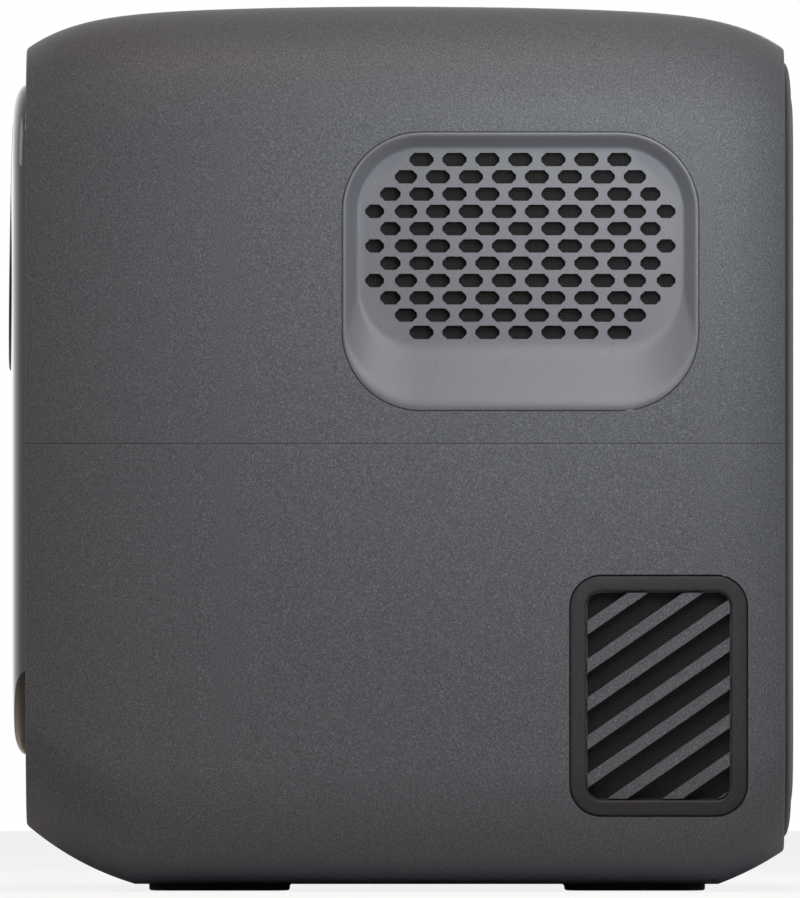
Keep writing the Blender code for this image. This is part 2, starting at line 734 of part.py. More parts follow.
def make_tripod_insert():
    """Brass insert with a threaded bore, flush with the underside."""
    profile = (
        (TRIPOD_BORE, FLOOR_HEIGHT),
        (TRIPOD_BORE, FLOOR_HEIGHT + TRIPOD_DEPTH),
        (TRIPOD_RADIUS, FLOOR_HEIGHT + TRIPOD_DEPTH),
        (TRIPOD_RADIUS, FLOOR_HEIGHT),
    )
    turned_part("tripod_insert", profile, BRASS, SMALL_ROUND_SIDES, Matrix.Translation((0, -TRIPOD_PLACE, 0)))


def make_case_screws():
    """Four screws that rise through the lower bosses into the upper ones."""
    names = ("front_left", "front_right", "rear_left", "rear_right")
    for name, (near, far) in zip(names, seam_bosses(False)):
        head_top = far[2] - GAP
        profile = (
            (0, SEAM_HEIGHT + SCREW_BITE),
            (SCREW_RADIUS, SEAM_HEIGHT + SCREW_BITE - SCREW_RADIUS),
            (SCREW_RADIUS, head_top),
            (SCREW_HEAD_RADIUS, head_top),
            (SCREW_HEAD_RADIUS, head_top - SCREW_HEAD_HEIGHT),
            (0, head_top - SCREW_HEAD_HEIGHT),
        )
        place = Matrix.Translation((near[0], near[1], 0))
        turned_part(f"case_screw_{name}", profile, STEEL, 8, place)


def panel_rings(low, high, corner, back, proud, edge, dome, steps, facing):
    """Rings of a pillowed panel: a flat back, a rounded edge and a shallow dome."""
    rings = []
    for inset, depth in [(0, back), *panel_profile(proud, edge, dome, steps)]:
        near = (low[0] + inset, low[1] + inset)
        far = (high[0] - inset, high[1] - inset)
        outline = rounded_outline(near, far, max(corner - inset, GAP))
        rings.append([(across, facing * depth, up) for across, up in outline])
    return rings


def panel_profile(proud, edge, dome, steps):
    """Inset and reach of the panel's rounded edge, as a quarter ellipse, then its dome."""
    quick = PANEL_EDGE_RISE_SHARE * proud
    profile = []
    for step in range(steps + 1):
        angle = math.radians(90 * step / steps)
        profile.append((edge * (1 - math.cos(angle)), quick * math.sin(angle)))
    profile.append((edge + dome / 2, proud - (proud - quick) / 4))
    profile.append((edge + dome, proud))
    return profile


def make_front():
    """Black front frame inside the sleeve's mouth, and the glossy panel on it."""
    side = half_width(-SLEEVE_FRONT)
    inset = SLEEVE_WALL + GAP
    outer = rounded_outline(
        (-side + inset, FRONT_LIP_HEIGHT + inset),
        (side - inset, SLEEVE_TOP - TOP_DROP - inset),
        SLEEVE_CORNER - inset,
    )
    face = SLEEVE_FRONT - GAP
    frame = add_part(
        "front_frame", plate_mesh([outer], face - FRAME_THICKNESS, face), DARK_GREY, FACING_FRONT
    )
    low = (-side + PANEL_MARGIN_SIDE, FRONT_LIP_HEIGHT + PANEL_MARGIN_BOTTOM)
    high = (side - PANEL_MARGIN_SIDE, SLEEVE_TOP - TOP_DROP - PANEL_MARGIN_TOP)
    seat = rounded_outline(
        (low[0] - GAP, low[1] - GAP), (high[0] + GAP, high[1] + GAP), PANEL_CORNER + GAP
    )
    floor = SLEEVE_FRONT - PANEL_SEAT_DEPTH
    pocket = plate_mesh([seat], floor, SLEEVE_FRONT + CUT_OVERRUN)
    cut(frame, add_cutter("panel_seat", pocket, FACING_FRONT))
    hole = rod_mesh(
        (0, -SLEEVE_FRONT - PANEL_PROUD - CUT_OVERRUN, LENS_HEIGHT),
        (0, -SLEEVE_FRONT + FRAME_THICKNESS + CUT_OVERRUN, LENS_HEIGHT),
        RING_RADIUS + 2 * GAP,
        ROUND_SIDES,
    )
    lens_hole = add_cutter("lens_hole", hole)
    cut(frame, lens_hole)
    rings = panel_rings(
        low, high, PANEL_CORNER, floor + GAP, PANEL_PROUD, PANEL_EDGE_WIDTH, PANEL_DOME_WIDTH, 5, -1
    )
    lifted = [
        [(x, y - (SLEEVE_FRONT if order else 0), z) for x, y, z in ring]
        for order, ring in enumerate(rings)
    ]
    panel = add_part("front_panel", loft_mesh(lifted), GLOSS_BLACK)
    hollow = rounded_outline(
        (low[0] + PANEL_EDGE_WIDTH, low[1] + PANEL_EDGE_WIDTH),
        (high[0] - PANEL_EDGE_WIDTH, high[1] - PANEL_EDGE_WIDTH),
        PANEL_CORNER - PANEL_EDGE_WIDTH,
    )
    deep = SLEEVE_FRONT + PANEL_EDGE_RISE_SHARE * PANEL_PROUD - PANEL_SKIN
    hollow_tool = plate_mesh([hollow], floor - CUT_OVERRUN, deep)
    cut(panel, add_cutter("panel_hollow", hollow_tool, FACING_FRONT))
    cut(panel, lens_hole)


def make_lens_ring():
    """Trim ring round the lens, with a stepped black throat, leaning with the dome."""
    profile = [(RING_RADIUS, 0), (RING_RADIUS, RING_DEPTH - RING_EDGE)]
    profile.append((RING_RADIUS - RING_EDGE, RING_DEPTH))
    fall = RING_DEPTH / RING_STEPS
    draw = (RING_MOUTH_RADIUS - RING_THROAT_RADIUS) / RING_STEPS
    for step in range(RING_STEPS):
        radius = RING_MOUTH_RADIUS - draw * step
        profile.append((radius, RING_DEPTH - fall * step))
        profile.append((radius, RING_DEPTH - fall * (step + 1)))
    lean = Matrix.Rotation(-RING_TILT, 4, "X")
    back = Matrix.Translation((0, -(RING_FRONT - RING_DEPTH), LENS_HEIGHT))
    turned_part("lens_ring", profile, BLACK_PLASTIC, ROUND_SIDES, back @ lean @ FACING_FRONT)


def grille_outlines():
    """Corners of the grille's outer outline and of its perforated plate."""
    outer = ((-GRILLE_FRONT, GRILLE_LOW), (GRILLE_REAR, GRILLE_HIGH))
    plate = (
        (-GRILLE_FRONT + GRILLE_DISH_SIDE, GRILLE_LOW + GRILLE_DISH_BOTTOM),
        (GRILLE_REAR - GRILLE_DISH_SIDE, GRILLE_HIGH - GRILLE_DISH_TOP),
    )
    return outer, plate


def grown(corners, amount):
    """Two opposite corners moved outwards by an amount."""
    (low, high) = corners
    return (low[0] - amount, low[1] - amount), (high[0] + amount, high[1] + amount)


def hole_outline(across, up, length):
    """A sound hole: an obround drawn with six sides."""
    half = length / 2
    tall = HOLE_HEIGHT / 2
    nose = half - HOLE_NOSE
    shape = (
        (half, 0), (nose, tall), (-nose, tall), (-half, 0), (-nose, -tall), (nose, -tall),
    )
    return [(across + x, up + y) for x, y in shape]


def hole_pattern():
    """Staggered rows of sound holes, trimmed at the ends where the plate's corners close in."""
    centre = (GRILLE_REAR - GRILLE_FRONT) / 2
    rows = len(HOLE_ROW_COUNTS)
    outlines = []
    for row, count in enumerate(HOLE_ROW_COUNTS):
        up = HOLE_CENTRE_HEIGHT + (row - (rows - 1) / 2) * HOLE_ROW_PITCH
        ends = HOLE_END_SHARES.get(count, ())
        for order in range(count):
            step = order - (count - 1) / 2
            near_end = min(order, count - 1 - order)
            share = ends[near_end] if near_end < len(ends) else 1
            length = HOLE_LENGTH * share
            trim = (HOLE_LENGTH - length) / 2
            across = centre + step * HOLE_PITCH - math.copysign(trim, step)
            outlines.append(hole_outline(across, up, length))
    return outlines


def make_side_grille(name, side):
    """Dished grille insert: a rim flush with the case, sloped walls and a perforated plate."""
    outer, plate = grille_outlines()
    face = SLEEVE_HALF_WIDTH
    floor = face - GRILLE_DISH_DEPTH
    soft = GRILLE_EDGE
    levels = (
        (grown(plate, GRILLE_SKIN), GRILLE_PLATE_CORNER + GRILLE_SKIN, floor - GRILLE_SKIN),
        (grown(outer, -GRILLE_LEDGE), GRILLE_CORNER - GRILLE_LEDGE, face - GRILLE_RIM),
        (outer, GRILLE_CORNER, face - GRILLE_RIM),
        (outer, GRILLE_CORNER, face - soft),
        (grown(outer, -soft), GRILLE_CORNER - soft, face),
        (plate, GRILLE_PLATE_CORNER, floor),
    )
    rings = []
    for corners, radius, depth in levels:
        rings.append([(side * depth, y, z) for y, z in rounded_outline(*corners, radius)])
    grille = add_part(name, loft_mesh(rings), GRILLE_GREY)
    low = side * (floor + CUT_OVERRUN)
    high = side * (floor - GRILLE_SKIN - CUT_OVERRUN)
    holes = plate_mesh(hole_pattern(), min(low, high), max(low, high))
    cut(grille, add_cutter(f"{name}_holes", holes, FACING_SIDE))


def louvre_outline(inset):
    """The louvre's outline in Y and Z, drawn in by an inset."""
    low = (LOUVRE_FRONT + inset, LOUVRE_LOW + inset)
    high = (LOUVRE_REAR - inset, LOUVRE_HIGH - inset)
    return rounded_outline(low, high, LOUVRE_CORNER - inset, 4)


def side_prism(name, outlines, side):
    """Outlines in Y and Z, extruded through one side wall of the case."""
    far = SLEEVE_HALF_WIDTH + CUT_OVERRUN
    near = SLEEVE_HALF_WIDTH - LOUVRE_REACH
    low, high = sorted((side * far, side * near))
    return add_cutter(name, plate_mesh(outlines, low, high), FACING_SIDE)


def slot_outlines():
    """The slanted gaps between the slats, rising towards the rear."""
    rise = math.tan(SLAT_RISE) * (LOUVRE_REAR - LOUVRE_FRONT)
    offset = math.tan(SLAT_RISE) * LOUVRE_BORDER
    step = SLAT_PITCH / math.cos(SLAT_RISE)
    solid = SLAT_THICKNESS / math.cos(SLAT_RISE)
    outlines = []
    for order in range(SLAT_COUNT + 1):
        low = SLAT_FIRST_HEIGHT - offset - step * order
        high = low + step - solid
        outlines.append(
            [(LOUVRE_FRONT, low), (LOUVRE_REAR, low + rise), (LOUVRE_REAR, high + rise),
             (LOUVRE_FRONT, high)]
        )
    return outlines


def make_louvre(side_name, side):
    """Vent frame that follows the case's curve, and the slatted piece that fills it from behind."""
    frame_back = LOUVRE_SUNK + LOUVRE_FRAME_SKIN
    frame = add_part(
        f"louvre_frame_{side_name}", skin_mesh(LOUVRE_SUNK, frame_back, False), DARK_GREY
    )
    ring = [louvre_outline(0), louvre_outline(LOUVRE_BORDER)]
    keep_common(frame, side_prism(f"louvre_ring_{side_name}", ring, side))
    slats = add_part(
        f"louvre_slats_{side_name}", skin_mesh(SLAT_SUNK, SLAT_SUNK + SLAT_SKIN, False), SPACE_GREY
    )
    body = [louvre_outline(LOUVRE_RIM_INSET)]
    keep_common(slats, side_prism(f"slat_outline_{side_name}", body, side))
    step = add_cutter(f"slat_step_{side_name}", skin_mesh(-CUT_OVERRUN, frame_back + GAP, False))
    seat = [louvre_outline(-CUT_OVERRUN), louvre_outline(LOUVRE_BORDER + GAP)]
    keep_common(step, side_prism(f"slat_seat_{side_name}", seat, side))
    cut(slats, step)
    slots = side_prism(f"slat_slots_{side_name}", slot_outlines(), side)
    opening = side_prism(f"slat_opening_{side_name}", [louvre_outline(LOUVRE_BORDER + GAP)], side)
    keep_common(slots, opening)
    cut(slats, slots)


def make_power_button():
    """Round button flush with the crown, with a skirt that keeps it in, and its switch board."""
    face = top_height(BUTTON_PLACE) - GAP
    skirt_top = top_height(BUTTON_PLACE) - SLEEVE_WALL - 2 * GAP
    skirt_low = skirt_top - BUTTON_SKIRT_HEIGHT
    profile = (
        (0, face),
        (BUTTON_RADIUS - GAP, face),
        (BUTTON_RADIUS, face - GAP),
        (BUTTON_RADIUS, skirt_top),
        (BUTTON_RADIUS + BUTTON_SKIRT, skirt_top),
        (BUTTON_RADIUS + BUTTON_SKIRT, skirt_low),
        (BUTTON_STEM_RADIUS, skirt_low),
        (BUTTON_STEM_RADIUS, skirt_low - BUTTON_STEM_LENGTH),
        (0, skirt_low - BUTTON_STEM_LENGTH),
    )
    turned_part("power_button", profile, BLACK_PLASTIC, 24, Matrix.Translation((0, BUTTON_PLACE, 0)))
    low = (-BUTTON_BOARD_LENGTH / 2, BUTTON_PLACE - BUTTON_BOARD_WIDTH / 2)
    high = (BUTTON_BOARD_LENGTH / 2, BUTTON_PLACE + BUTTON_BOARD_WIDTH / 2)
    board_mesh = box_mesh((*low, BUTTON_BOARD_TOP - BOARD_THICKNESS), (*high, BUTTON_BOARD_TOP))
    board = add_part("button_board", board_mesh, BOARD_GREEN)
    half = SWITCH_SIZE / 2
    switch = box_mesh(
        (-half, BUTTON_PLACE - half, BUTTON_BOARD_TOP - BOARD_THICKNESS / 2),
        (half, BUTTON_PLACE + half, BUTTON_BOARD_TOP + SWITCH_HEIGHT),
    )
    fuse(board, add_cutter("button_switch", switch))


def make_rear_panel():
    """Pillowed rear panel with a sunk port bay, port holes and posts for the main board."""
    margin = SLEEVE_WALL + GAP
    side = half_width(SLEEVE_REAR)
    low = (-side + margin, REAR_LIP_HEIGHT + margin)
    high = (side - margin, SLEEVE_TOP - TOP_DROP - margin)
    corner = SLEEVE_CORNER - margin
    rings = panel_rings(
        low, high, corner, -REAR_SEAT_DEPTH, REAR_PROUD, REAR_EDGE_WIDTH, REAR_DOME_WIDTH, 4, 1
    )
    moved = [[(x, y + SLEEVE_REAR, z) for x, y, z in ring] for ring in rings]
    panel = add_part("rear_panel", loft_mesh(moved), DARK_GREY)
    wall = REAR_THICKNESS
    hollow = rounded_outline(
        (low[0] + wall, low[1] + wall), (high[0] - wall, high[1] - wall), corner - wall
    )
    deep = SLEEVE_REAR + PANEL_EDGE_RISE_SHARE * REAR_PROUD - wall
    near = SLEEVE_REAR - REAR_SEAT_DEPTH - CUT_OVERRUN
    cut(panel, add_cutter("rear_hollow", plate_mesh([hollow], -deep, -near), FACING_FRONT))
    bay_floor = SLEEVE_REAR + REAR_PROUD - BAY_DEPTH
    low_x, high_x, low_z, high_z = (-BAY_HALF_WIDTH, BAY_HALF_WIDTH, BAY_LOW, BAY_HIGH)
    back = box_mesh(
        (low_x - wall, bay_floor - wall, low_z - wall),
        (high_x + wall, deep + wall / 2, high_z + wall),
    )
    fuse(panel, add_cutter("bay_back", back))
    bay = rounded_outline((low_x, low_z), (high_x, high_z), BAY_CORNER, 4)
    far = SLEEVE_REAR + REAR_PROUD + CUT_OVERRUN
    cut(panel, add_cutter("bay_recess", plate_mesh([bay], -far, -bay_floor), FACING_FRONT))
    for name, across, width, height in PORTS:
        low_port = (across - width / 2 - GAP, PORT_HEIGHT - height / 2 - GAP)
        high_port = (across + width / 2 + GAP, PORT_HEIGHT + height / 2 + GAP)
        hole = box_mesh(
            (low_port[0], bay_floor - wall - CUT_OVERRUN, low_port[1]),
            (high_port[0], far, high_port[1]),
        )
        cut(panel, add_cutter(f"{name}_hole", hole))
    for across in (-BOARD_POST_PLACE, BOARD_POST_PLACE):
        for up in (BOARD_LOW + BOARD_POST_INSET, BOARD_HIGH - BOARD_POST_INSET):
            start = (across, BOARD_REAR + GAP, up)
            post = rod_mesh(start, (across, deep + wall / 2, up), BOARD_POST_RADIUS, 6)
            fuse(panel, add_cutter(f"board_post_{across:.3f}_{up:.3f}", post))
    half = IR_SIZE[0] / 2 + GAP
    tall = IR_SIZE[1] / 2 + GAP
    hole = box_mesh((-half, deep - CUT_OVERRUN, IR_HEIGHT - tall), (half, far, IR_HEIGHT + tall))
    cut(panel, add_cutter("ir_hole", hole))
    window = box_mesh(
        (-IR_SIZE[0] / 2, deep, IR_HEIGHT - IR_SIZE[1] / 2),
        (IR_SIZE[0] / 2, deep + wall, IR_HEIGHT + IR_SIZE[1] / 2),
    )
    add_part("ir_window", window, GLOSS_BLACK)


def engine_post_places():
    """Floor posts under the corners of the engine's base block."""
    reach = BASE_HALF - BASE_POST_INSET
    places = []
    for across in (-reach, reach):
        for along in (ENGINE_PLACE - reach, ENGINE_PLACE + reach):
            places.append((across, along))
    return places


def power_post_places():
    """Wall posts behind the corners of the power board."""
    places = []
    for along in (POWER_BOARD_FRONT + POWER_POST_INSET, POWER_BOARD_REAR - POWER_POST_INSET):
        for up in (POWER_BOARD_LOW + POWER_POST_INSET, POWER_BOARD_HIGH - POWER_POST_INSET):
            places.append((along, up))
    return places


def level_ring(half_x, half_y, corner, height):
    """A level rounded rectangle centred on the engine's upright axis."""
    outline = rounded_outline(
        (-half_x, ENGINE_PLACE - half_y), (half_x, ENGINE_PLACE + half_y), corner, 3
    )
    return [(x, y, height) for x, y in outline]


def make_engine_base():
    """Aluminium base block and the LED board on it."""
    half = BASE_HALF
    top = BASE_LOW + BASE_THICKNESS
    base = box_mesh((-half, ENGINE_PLACE - half, BASE_LOW), (half, ENGINE_PLACE + half, top))
    add_part("engine_base", base, ALUMINIUM)
    low = top + GAP
    half = LED_BOARD_HALF
    high = low + LED_BOARD_THICKNESS
    board = add_part(
        "led_board",
        box_mesh((-half, ENGINE_PLACE - half, low), (half, ENGINE_PLACE + half, high)),
        COPPER,
    )
    start = (0, ENGINE_PLACE, high - LED_HEIGHT)
    chip = rod_mesh(start, (0, ENGINE_PLACE, high + LED_HEIGHT), LED_RADIUS, 16)
    fuse(board, add_cutter("led_chip", chip))


def tower_low():
    """Underside of the engine tower, just above the LED board."""
    return BASE_LOW + BASE_THICKNESS + LED_BOARD_THICKNESS + 2 * GAP


def make_engine_tower():
    """Funnel housing from the LED up to the panel: collar, flare and straight slot box."""
    low = tower_low()
    levels = (
        (COLLAR_HALF, COLLAR_HALF, low),
        (COLLAR_HALF, COLLAR_HALF, low + COLLAR_HEIGHT),
        (TOWER_HALF_X, TOWER_HALF_Y, FLARE_TOP),
        (TOWER_HALF_X, TOWER_HALF_Y, TOWER_TOP),
    )
    rings = [level_ring(x, y, TOWER_CORNER, height) for x, y, height in levels]
    tower = add_part("engine_tower", loft_mesh(rings), BLACK_PLASTIC)
    wall = TOWER_WALL
    inner = [
        level_ring(x - wall, y - wall, TOWER_CORNER - wall, height) for x, y, height in levels
    ]
    inner[0] = [(x, y, z - CUT_OVERRUN) for x, y, z in inner[0]]
    inner[-1] = [(x, y, z + CUT_OVERRUN) for x, y, z in inner[-1]]
    cut(tower, add_cutter("tower_inside", loft_mesh(inner)))
    half = ENGINE_FAN_SIZE / 2 - ENGINE_FAN_WALL
    rear = ENGINE_PLACE + TOWER_HALF_Y
    window = box_mesh(
        (-half, rear - 2 * TOWER_WALL, WINDOW_LOW), (half, rear + CUT_OVERRUN, WINDOW_HIGH)
    )
    cut(tower, add_cutter("tower_window", window))


def lens_profile(radius, thickness, bulge_front, bulge_back, steps=3):
    """Half section of a lens element from its front pole to its back pole."""
    profile = []
    for step in range(steps + 1):
        share = step / steps
        profile.append((radius * share, thickness / 2 + bulge_front * (1 - share**2)))
    for step in range(steps + 1):
        share = 1 - step / steps
        profile.append((radius * share, -thickness / 2 - bulge_back * (1 - share**2)))
    return profile


def make_engine_optics():
    """Condenser, the two Fresnel plates, the LCD panel between them and the folding mirror."""
    place = Matrix.Translation((0, ENGINE_PLACE, tower_low() + CONDENSER_HEIGHT))
    radius = COLLAR_HALF - TOWER_WALL - GAP
    profile = lens_profile(radius, CONDENSER_EDGE, CONDENSER_BULGE, 0)
    turned_part("led_lens", profile, GLASS, SMALL_ROUND_SIDES, place)
    wall = TOWER_WALL + GAP
    for name, low, thickness, look in (
        ("fresnel_in", TOWER_TOP - FRESNEL_IN_DROP, FRESNEL_THICKNESS, GLASS),
        ("lcd_panel", TOWER_TOP - LCD_DROP, LCD_THICKNESS, GLOSS_BLACK),
        ("fresnel_out", TOWER_TOP - FRESNEL_OUT_DROP, FRESNEL_THICKNESS, GLASS),
    ):
        corner = TOWER_CORNER - wall
        rings = [
            level_ring(TOWER_HALF_X - wall, TOWER_HALF_Y - wall, corner, height)
            for height in (low, low + thickness)
        ]
        add_part(name, loft_mesh(rings), look)
    # The mirror's face passes through the lens axis at 45 degrees
    centre = Vector((0, ENGINE_PLACE, LENS_HEIGHT))
    lean = Matrix.Rotation(math.radians(135), 4, "X")
    half_x = HOOD_HALF - HOOD_WALL - GAP
    mirror = box_mesh((-half_x, -MIRROR_HALF, -MIRROR_THICKNESS), (half_x, MIRROR_HALF, 0))
    add_part("fold_mirror", mirror, MIRROR, Matrix.Translation(centre) @ lean)


def hood_outline(inset, low):
    """Side outline of the mirror hood in Y and Z, drawn in by an inset."""
    root = math.sqrt(2)
    mirror_line = ENGINE_PLACE + LENS_HEIGHT
    slope = mirror_line + root * (MIRROR_THICKNESS + GAP + HOOD_WALL - inset)
    front = ENGINE_PLACE - HOOD_FRONT + inset
    rear = ENGINE_PLACE + TOWER_HALF_Y - inset
    top = LENS_HEIGHT + HOOD_RISE - inset
    return [(front, low), (rear, low), (rear, slope - rear), (slope - top, top), (front, top)]


def make_mirror_hood():
    """Hood over the output plate that carries the mirror at 45 degrees and the lens tube."""
    low = TOWER_TOP + GAP
    hood = add_part(
        "mirror_hood",
        plate_mesh([hood_outline(0, low)], -HOOD_HALF, HOOD_HALF),
        BLACK_PLASTIC,
        FACING_SIDE,
    )
    inner = HOOD_HALF - HOOD_WALL
    room = plate_mesh([hood_outline(HOOD_WALL, low - CUT_OVERRUN)], -inner, inner)
    cut(hood, add_cutter("hood_inside", room, FACING_SIDE))
    front = ENGINE_PLACE - HOOD_FRONT
    hole = rod_mesh(
        (0, front - CUT_OVERRUN, LENS_HEIGHT),
        (0, front + HOOD_WALL + CUT_OVERRUN, LENS_HEIGHT),
        HOLDER_BORE,
        24,
    )
    cut(hood, add_cutter("hood_mouth", hole))


def lens_axis(place):
    """Matrix that turns a profile's upright axis to point forwards at a place along Y."""
    return Matrix.Translation((0, place, LENS_HEIGHT)) @ FACING_FRONT


def make_projection_lens():
    """Flanged lens tube, the focusing barrel in it and the barrel's two lens elements."""
    back = ENGINE_PLACE - HOOD_FRONT - GAP
    bore = HOLDER_BORE
    profile = (
        (bore, 0), (HOLDER_FLANGE_RADIUS, 0), (HOLDER_FLANGE_RADIUS, HOLDER_FLANGE),
        (bore + HOLDER_WALL, HOLDER_FLANGE), (bore + HOLDER_WALL, HOLDER_LENGTH),
        (bore, HOLDER_LENGTH),
    )
    turned_part("lens_holder", profile, ALUMINIUM, 24, lens_axis(back))
    outer = HOLDER_BORE - GAP
    inner = outer - BARREL_WALL
    profile = (
        (inner, 0), (outer, 0), (outer, BARREL_LENGTH), (inner, BARREL_LENGTH),
        (inner, BARREL_LENGTH - BARREL_SEAT), (inner - BARREL_STEP, BARREL_LENGTH - BARREL_SEAT),
        (inner - BARREL_STEP, BARREL_SEAT), (inner, BARREL_SEAT),
    )
    guide = turned_part("barrel_blank", profile, BLACK_PLASTIC, 24, lens_axis(-BARREL_REAR), True)
    seen = guide.evaluated_get(bpy.context.evaluated_depsgraph_get())
    mesh = bpy.data.meshes.new_from_object(seen)
    bpy.data.objects.remove(guide, do_unlink=True)
    barrel = add_part("lens_barrel", mesh, BLACK_PLASTIC, lens_axis(-BARREL_REAR))
    arm_back = BARREL_LENGTH - ARM_THICKNESS
    across = FOCUS_REACH * math.cos(FOCUS_ANGLE)
    up = FOCUS_REACH * math.sin(FOCUS_ANGLE)
    arm = box_mesh(
        (outer - BARREL_WALL / 2, -ARM_HALF, arm_back),
        (FOCUS_REACH + ARM_HALF, ARM_HALF, BARREL_LENGTH),
    )
    turn = Matrix.Rotation(FOCUS_ANGLE, 4, "Z")
    fuse(barrel, add_cutter("barrel_arm", arm, lens_axis(-BARREL_REAR) @ turn))
    nut = rod_mesh(
        (across, up, arm_back - CUT_OVERRUN),
        (across, up, BARREL_LENGTH + CUT_OVERRUN),
        FOCUS_SCREW_RADIUS + GAP,
        12,
    )
    cut(barrel, add_cutter("barrel_nut", nut, lens_axis(-BARREL_REAR)))
    radius = inner - GAP
    thickness = BARREL_SEAT - 2 * GAP
    for name, place, front, behind in (
        ("lens_front_glass", BARREL_LENGTH - BARREL_SEAT / 2, FRONT_GLASS_BULGE, 0),
        ("lens_rear_glass", BARREL_SEAT / 2, 0, REAR_GLASS_BULGE),
    ):
        element = lens_profile(radius, thickness, front, behind)
        turned_part(name, element, GLASS, SMALL_ROUND_SIDES, lens_axis(-BARREL_REAR - place))


def make_focus_drive():
    """Small stepper motor on the lens tube's flange, and the screw that moves the barrel."""
    across = FOCUS_REACH * math.cos(FOCUS_ANGLE)
    up = LENS_HEIGHT + FOCUS_REACH * math.sin(FOCUS_ANGLE)
    back = ENGINE_PLACE - HOOD_FRONT - HOLDER_FLANGE - 2 * GAP
    profile = (
        (0, FOCUS_MOTOR_LENGTH + FOCUS_BUSH), (FOCUS_SCREW_RADIUS, FOCUS_MOTOR_LENGTH + FOCUS_BUSH),
        (FOCUS_SCREW_RADIUS, FOCUS_MOTOR_LENGTH), (FOCUS_MOTOR_RADIUS, FOCUS_MOTOR_LENGTH),
        (FOCUS_MOTOR_RADIUS, 0), (0, 0),
    )
    place = Matrix.Translation((across, back, up)) @ FACING_FRONT
    turned_part("focus_motor", profile, STEEL, SMALL_ROUND_SIDES, place)
    start = FOCUS_MOTOR_LENGTH + FOCUS_BUSH + GAP
    screw = rod_mesh((0, 0, start), (0, 0, FOCUS_SCREW_END + back), FOCUS_SCREW_RADIUS, 12)
    add_part("focus_screw", screw, STEEL, place)


def make_heat_sink():
    """Finned block: upright plates along the airflow on a base that the pipes run under."""
    low = (SINK_LEFT, SINK_FRONT, BASE_LOW)
    high = (FAN_INNER - GAP, SINK_REAR, BASE_LOW + SINK_BASE)
    sink = add_part("heat_sink", box_mesh(low, high), ALUMINIUM)
    run = SINK_REAR - SINK_FRONT - FIN_THICKNESS
    outlines = []
    for order in range(FIN_COUNT):
        start = SINK_FRONT + run * order / (FIN_COUNT - 1)
        outlines.append(
            [(start, BASE_LOW + SINK_BASE / 2), (start + FIN_THICKNESS, BASE_LOW + SINK_BASE / 2),
             (start + FIN_THICKNESS, SINK_HIGH), (start, SINK_HIGH)]
        )
    fins = plate_mesh(outlines, SINK_LEFT, FAN_INNER - GAP)
    fuse(sink, add_cutter("sink_fins", fins, FACING_SIDE))


def make_heat_pipes():
    """Two copper pipes that run under the engine base, bend apart and run under the fins."""
    height = BASE_LOW - GAP - PIPE_RADIUS
    front = ENGINE_PLACE - BASE_HALF + PIPE_END_INSET
    bend = ENGINE_PLACE + BASE_HALF
    for name, side in (("heat_pipe_left", -1), ("heat_pipe_right", 1)):
        curve = bpy.data.curves.new(name, "CURVE")
        curve.dimensions = "3D"
        curve.bevel_depth = PIPE_RADIUS
        curve.bevel_resolution = 2
        curve.use_fill_caps = True
        route = [(side * PIPE_NEAR, front, height)]
        for step in range(PIPE_STEPS + 1):
            share = step / PIPE_STEPS
            swing = (1 - math.cos(math.pi * share)) / 2
            across = PIPE_NEAR + (PIPE_FAR - PIPE_NEAR) * swing
            along = bend + (SINK_FRONT + PIPE_END_INSET - bend) * share
            route.append((side * across, along, height))
        route.append((side * PIPE_FAR, SINK_REAR - PIPE_END_INSET, height))
        spline = curve.splines.new("POLY")
        spline.points.add(len(route) - 1)
        for point, place in zip(spline.points, route):
            point.co = (*place, 1)
        pipe = bpy.data.objects.new(name, curve)
        PARTS.objects.link(pipe)
        curve.materials.append(finish(f"{name}_copper", *COPPER[1:]))


def blade_mesh(inner, outer, depth, twist, thickness, turn):
    """One twisted fan blade: a thin plate whose pitch eases towards its tip."""
    steps = 3
    rings = []
    for step in range(steps + 1):
        share = step / steps
        radius = inner + (outer - inner) * share
        spread = twist * (1 - BLADE_EASE_SHARE * share)
        ring = []
        for lift, level in ((-1, -1), (-1, 1), (1, 1), (1, -1)):
            angle = turn + lift * spread / 2 + level * thickness / (2 * radius)
            ring.append((radius * math.cos(angle), radius * math.sin(angle), lift * depth / 2))
        rings.append(ring)
    return loft_mesh(rings)


